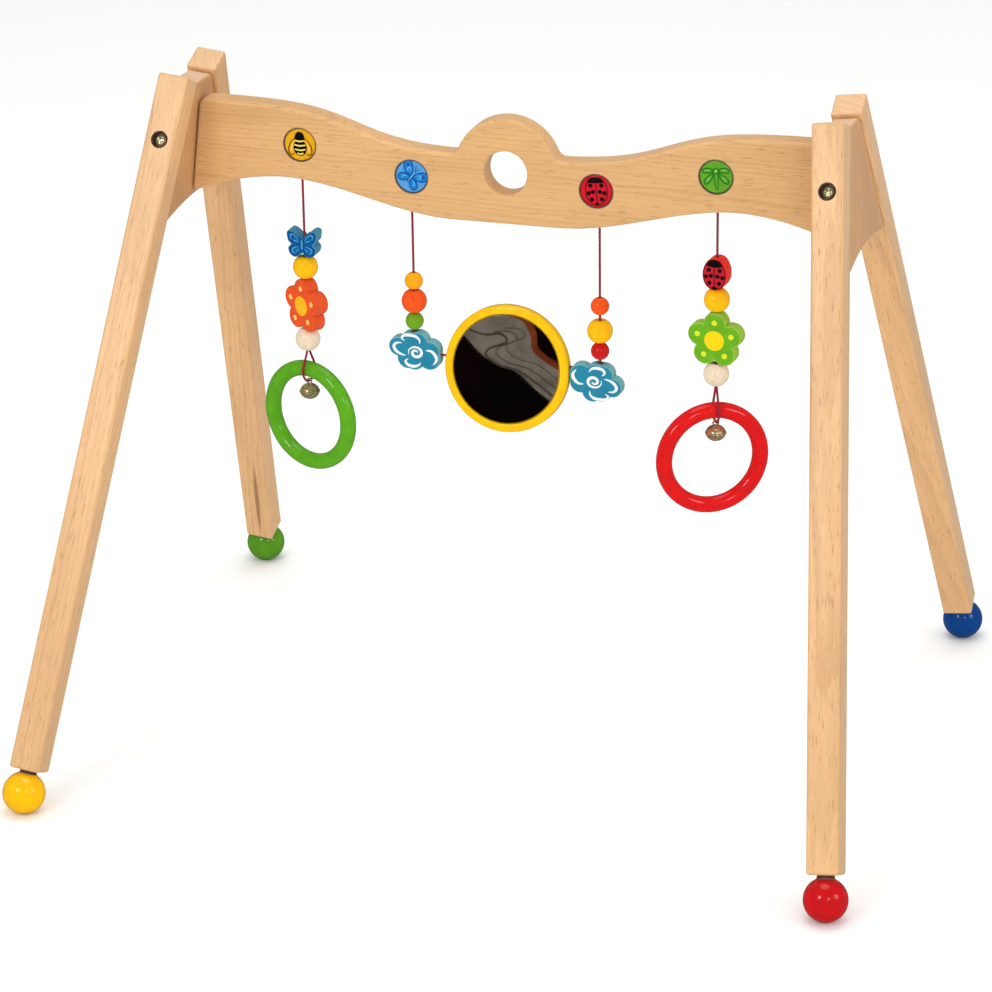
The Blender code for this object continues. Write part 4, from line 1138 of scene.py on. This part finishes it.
BELL_RADIUS = 7.1 * MM
BELL_HALF = 5.75 * MM
BELL_WALL = 0.6 * MM
BELL_RIM = BELL_RADIUS + 0.35 * MM
BELL_SLOTS = ((9.2, 1.2, 5.0), (1.2, 9.2, 5.0))  # millimetres along X, Y and Z
EYE_RADIUS = 2.05 * MM
EYE_WIRE = 0.55 * MM
PELLET_RADIUS = 2.0 * MM
nickel = metal("nickel", srgb(238, 220, 176), 0.24, srgb(176, 150, 100), 0.02)
steel = metal("pellet_steel", srgb(150, 146, 140), 0.3, srgb(96, 90, 82))


def bell(side, turn):
    """A jingle bell: two pressed halves with a crimped rim, a cross slot below, an eye and its pellet."""
    node = side + "_bell"
    low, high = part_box(node)
    heart = Vector((joint_at(node + "_swing").x, 0, low.z + BELL_HALF))
    rim = BELL_RIM
    angles = [math.radians(90 - 180 * i / 40) for i in range(41)]
    outer = [(BELL_RADIUS * math.cos(a), BELL_HALF * math.sin(a)) for a in angles]
    lip = [(BELL_RADIUS, 0.55 * MM), (rim - 0.1 * MM, 0.5 * MM), (rim, 0.3 * MM), (rim, 0.06 * MM)]
    lip += [(rim - 0.15 * MM, 0), (rim, -0.06 * MM), (rim, -0.3 * MM), (rim - 0.1 * MM, -0.5 * MM)]
    outer[18:23] = [*lip, (BELL_RADIUS, -0.55 * MM)]
    outer[0], outer[-1] = (0, BELL_HALF), (0, -BELL_HALF)
    inner = [((BELL_RADIUS - BELL_WALL) * math.cos(a), (BELL_HALF - BELL_WALL) * math.sin(a)) for a in angles]
    inner[0], inner[-1] = (0, BELL_HALF - BELL_WALL), (0, BELL_WALL - BELL_HALF)
    shell = turned(node + "_pressed", outer, 64, sharp=30)
    shell.matrix_world = Matrix.Translation(heart) @ Matrix.Rotation(math.radians(turn), 4, "Z")
    cutters = [turned("cavity", inner, 48)]
    cutters[0].matrix_world = shell.matrix_world
    for size in BELL_SLOTS:
        shape = bmesh.new()
        bmesh.ops.create_cube(shape, size=1, matrix=Matrix.Diagonal((*[s * MM for s in size], 1)))
        cutters.append(finished("slot", shape))
        below = Matrix.Translation((0, 0, 0.5 * MM - BELL_HALF))
        cutters[-1].matrix_world = shell.matrix_world @ below
    put(cut_away(shell, cutters, 30), node, nickel)
    eye = turned(node + "_eye", arc((EYE_RADIUS, 0), EYE_WIRE, 0, 337.5, 16), 40, closed=True)
    up = high.z - EYE_RADIUS - EYE_WIRE
    eye.matrix_world = standing(Vector((heart.x, 0, up)), turn)
    goes_with(eye, node, nickel)
    pellet_node = side + "_bell_pellet"
    pellet = turned(pellet_node + "_ball", arc((0, 0), PELLET_RADIUS, 90, -90, 25), 32)
    pellet.location = middle(pellet_node)
    put(pellet, pellet_node, steel)


bell("left", TURN["green_ring"])
bell("right", TURN["red_ring"])

# ---------------------------------------------------------------- mirror

FRAME_RADIUS = 45.6 * MM
GLASS_RADIUS = 39.2 * MM
FRAME_HALF = 5.0 * MM
GLASS_THICK = 2.4 * MM
GLASS_BACK = FRAME_HALF - 0.5 * MM - GLASS_THICK
MIRROR_TILT = math.radians(9)


def make_mirror():
    """A turned yellow frame with a rebate, and the sheet set into it."""
    base = standing(Vector()) @ Matrix.Rotation(-MIRROR_TILT, 4, "X")
    base = Matrix.Translation(middle("mirror_frame")) @ base
    seat = GLASS_BACK - 0.3 * MM
    lip = GLASS_RADIUS + 0.3 * MM
    front = [(0, seat), (lip, seat), (lip, FRAME_HALF - 0.7 * MM)]
    front += arc((lip + 0.7 * MM, FRAME_HALF - 0.7 * MM), 0.7 * MM, 180, 90, 6)
    edge = arc((FRAME_RADIUS - 2.6 * MM, FRAME_HALF - 2.6 * MM), 2.6 * MM, 90, 0, 12)
    back = [(x, -z) for x, z in reversed(edge)]
    obj = turned("mirror_frame_turned", front + edge + back + [(0, -FRAME_HALF)], 144, sharp=50)
    obj.matrix_world = base
    put(even_light(obj), "mirror_frame", lacquer("mirror_frame_lacquer", srgb(252, 196, 0), 0.24, 0.12, 0.7))
    top = GLASS_THICK
    rim = [(GLASS_RADIUS - 0.5 * MM, top), (GLASS_RADIUS, top - 0.4 * MM), (GLASS_RADIUS, 0)]
    sheet = turned("mirror_sheet", [(0, top), *rim, (0, 0)], 144, sharp=20)
    sheet.matrix_world = base @ Matrix.Translation((0, 0, GLASS_BACK))
    put(sheet, "mirror_plate", mirror_sheet("acrylic_mirror"))
    return base @ Matrix.Translation((0, 0, GLASS_BACK + GLASS_THICK))


mirror_face = make_mirror()

# ---------------------------------------------------------------- stage

FLOOR_HALF = 6.0


def make_floor():
    """A plain pale floor."""
    shape = bmesh.new()
    bmesh.ops.create_grid(shape, x_segments=8, y_segments=8, size=FLOOR_HALF)
    floor = finished("floor", shape)
    look = Look("floor_paper", roughness=0.9, specular_ior_level=0.1)
    at = look.place()
    tone = look.mix(look.noise(at, 1.5, 2), srgb(250, 250, 249), srgb(253, 253, 252))
    look.feed(look.shader, {"Base Color": tone})
    floor.data.materials.append(look.material)
    floor.visible_glossy = False


def only_in_reflections(obj):
    for kind in ("camera", "diffuse", "transmission", "volume_scatter", "shadow"):
        setattr(obj, "visible_" + kind, False)


CARD_AWAY = 0.42  # from the mirror, along the line of sight's reflection
CARD_HALF = 0.12


def painted_glow_look(name, first, second, scale):
    """A dim surface that shines by itself, a painted reflection for the mirror, uneven from one colour to another.
    """
    look = Look(name)
    look.tree.nodes.remove(look.shader)
    uneven = look.span(look.noise(look.place(), scale, 2, 0.5), 0.3, 0.7)
    glow = look.node("Emission", {"Color": look.mix(uneven, first, second)})
    look.tree.links.new(glow, look.tree.nodes["Material Output"].inputs["Surface"])
    return look.material


def make_painted_reflection():
    """A painted reflection: glowing strips that only reflections show, set where the mirror's line of sight lands:
    black, with a wavy band across it.
    """
    middle_of_mirror = mirror_face.to_translation()
    facing = (mirror_face.to_3x3() @ Vector((0, 0, 1))).normalized()
    away = (middle_of_mirror - Vector(CAMERA_AT)).normalized().reflect(facing)
    heart = middle_of_mirror + away * CARD_AWAY

    def shown_at(u, v, nearer=0.0):
        """The place on the card that the mirror shows at u, v millimetres from its middle."""
        point = mirror_face @ Vector((u * MM, v * MM, 0))
        ray = (point - Vector(CAMERA_AT)).reflect(facing)
        return point + ray * ((heart - away * nearer - point).dot(away) / ray.dot(away))

    def patch(name, first_edge, second_edge, nearer, look):
        """A strip of the card between two lines."""
        edges = [curved(edge, 10, closed=False) for edge in (first_edge, second_edge)]
        count = min(len(edge) for edge in edges)
        shape = bmesh.new()
        rows = []
        for i in range(count):
            share = i / (count - 1)
            row = []
            for edge in edges:
                u, v = edge[round(share * (len(edge) - 1))]
                row.append(shape.verts.new(shown_at(u, v, nearer)))
            rows.append(row)
        for first, second in zip(rows, rows[1:]):
            shape.faces.new((*first, *reversed(second)))
        piece = finished(name, shape)
        piece.data.materials.append(look)
        only_in_reflections(piece)

    def stroke(name, line, width, nearer, look):
        """A wavy line of that width in millimetres."""
        route = [Vector(p) for p in curved(line, 6, closed=False)]
        sides = ([], [])
        for i, at in enumerate(route):
            along = (route[min(i + 1, len(route) - 1)] - route[max(i - 1, 0)]).normalized()
            half = Vector((-along.y, along.x)) * width / 2
            sides[0].append(tuple(at - half))
            sides[1].append(tuple(at + half))
        patch(name, *sides, nearer, look)

    # glowing colours that paint the reflection the mirror shows
    black = painted_glow_look("card_black", srgb(7, 4, 4), srgb(20, 7, 8), 18)
    taupe = painted_glow_look("card_taupe", srgb(136, 127, 114), srgb(112, 103, 90), 60)
    rust = painted_glow_look("card_rust_brown_reflection", srgb(146, 70, 34), srgb(112, 48, 24), 50)
    dark = painted_glow_look("card_dark", srgb(62, 54, 47), srgb(84, 76, 66), 50)
    edge = CARD_HALF / MM / 2
    low, high = [(-edge, -edge), (0, -edge), (edge, -edge)], [(-edge, edge), (0, edge), (edge, edge)]
    patch("card_back", low, high, 0, black)
    lower = [(-48, 30), (-32, 22), (-20, 10.5), (-11, 5), (9.7, -1.5), (21.6, -12), (33.6, -20)]
    lower.append((46, -30))
    upper = [(-40, 58), (-20, 46), (-8, 40), (9.7, 35.8), (17, 25), (20, 13.4), (38, 3), (52, -6)]
    patch("card_band", lower, upper, 2 * MM, taupe)
    ridge = [(-20, 46), (-8, 40), (9.7, 35.8), (17, 25), (20, 13.4), (38, 3), (52, -6)]
    patch("card_rust_brown_reflection", ridge, [(u + 4.2, v + 2.7) for u, v in ridge], 3 * MM, rust)
    fold = [(-44, 36), (-30.6, 27.6), (-17.2, 23.9), (-5.2, 24.6), (-0.7, 19.4), (-12.7, 13.4), (-14.2, 8.2)]
    fold += [(-5.2, 3), (9.7, 0), (24.6, -9), (38, -18), (50, -28)]
    stroke("card_fold", fold, 1.7, 4 * MM, dark)
    for name, across, up, width in (("first", 7.5, 2.0, 0.9), ("second", 14.0, 5.0, 0.7)):
        stroke("card_fold_" + name, [(u + across, v + up) for u, v in fold[2:]], width, 4 * MM, dark)


def lamp(name, at, towards, size, power):
    """A soft box."""
    light = bpy.data.lights.new(name, "AREA")
    light.shape = "DISK"
    light.size = size
    light.energy = power
    light.spread = math.pi
    obj = added(name, light)
    obj.location = at
    obj.rotation_euler = (Vector(towards) - Vector(at)).to_track_quat("-Z", "Y").to_euler()


WORLD_SEEN = 1.0  # behind the floor's far edge
WORLD_LIGHT = 0.90  # what it gives to matt surfaces
WORLD_GLOSS = 0.06  # what shows in reflections: a dim room behind the lamps


def make_world():
    """White behind, soft light all round, and a dim room in the reflections."""
    world = bpy.data.worlds.new("studio")
    world.use_nodes = True
    nodes, links = world.node_tree.nodes, world.node_tree.links
    path = nodes.new("ShaderNodeLightPath")
    light = nodes.new("ShaderNodeMix")
    light.inputs["A"].default_value, light.inputs["B"].default_value = WORLD_LIGHT, WORLD_GLOSS
    seen = nodes.new("ShaderNodeMix")
    seen.inputs["B"].default_value = WORLD_SEEN
    links.new(path.outputs["Is Glossy Ray"], light.inputs["Factor"])
    links.new(light.outputs["Result"], seen.inputs["A"])
    links.new(path.outputs["Is Camera Ray"], seen.inputs["Factor"])
    nodes["Background"].inputs["Color"].default_value = (1.0, 1.0, 1.0, 1.0)
    links.new(seen.outputs["Result"], nodes["Background"].inputs["Strength"])
    SCENE.world = world


SCENE.view_settings.view_transform = "Standard"
make_world()
make_floor()
make_painted_reflection()
for light_name, at, height, size, power in (
    # name, place, the height it points at, width, power
    ("key", (-0.9, -2.5, 1.75), 0.25, 0.8, 13),
    ("fill", (1.5, -2.4, 1.5), 0.25, 0.5, 5),
    ("side", (2.6, -0.7, 1.3), 0.25, 1.0, 9),
    ("top", (0.0, 0.2, 2.4), 0.2, 1.6, 12),
):
    lamp(light_name, at, (0, 0, height), size, power)
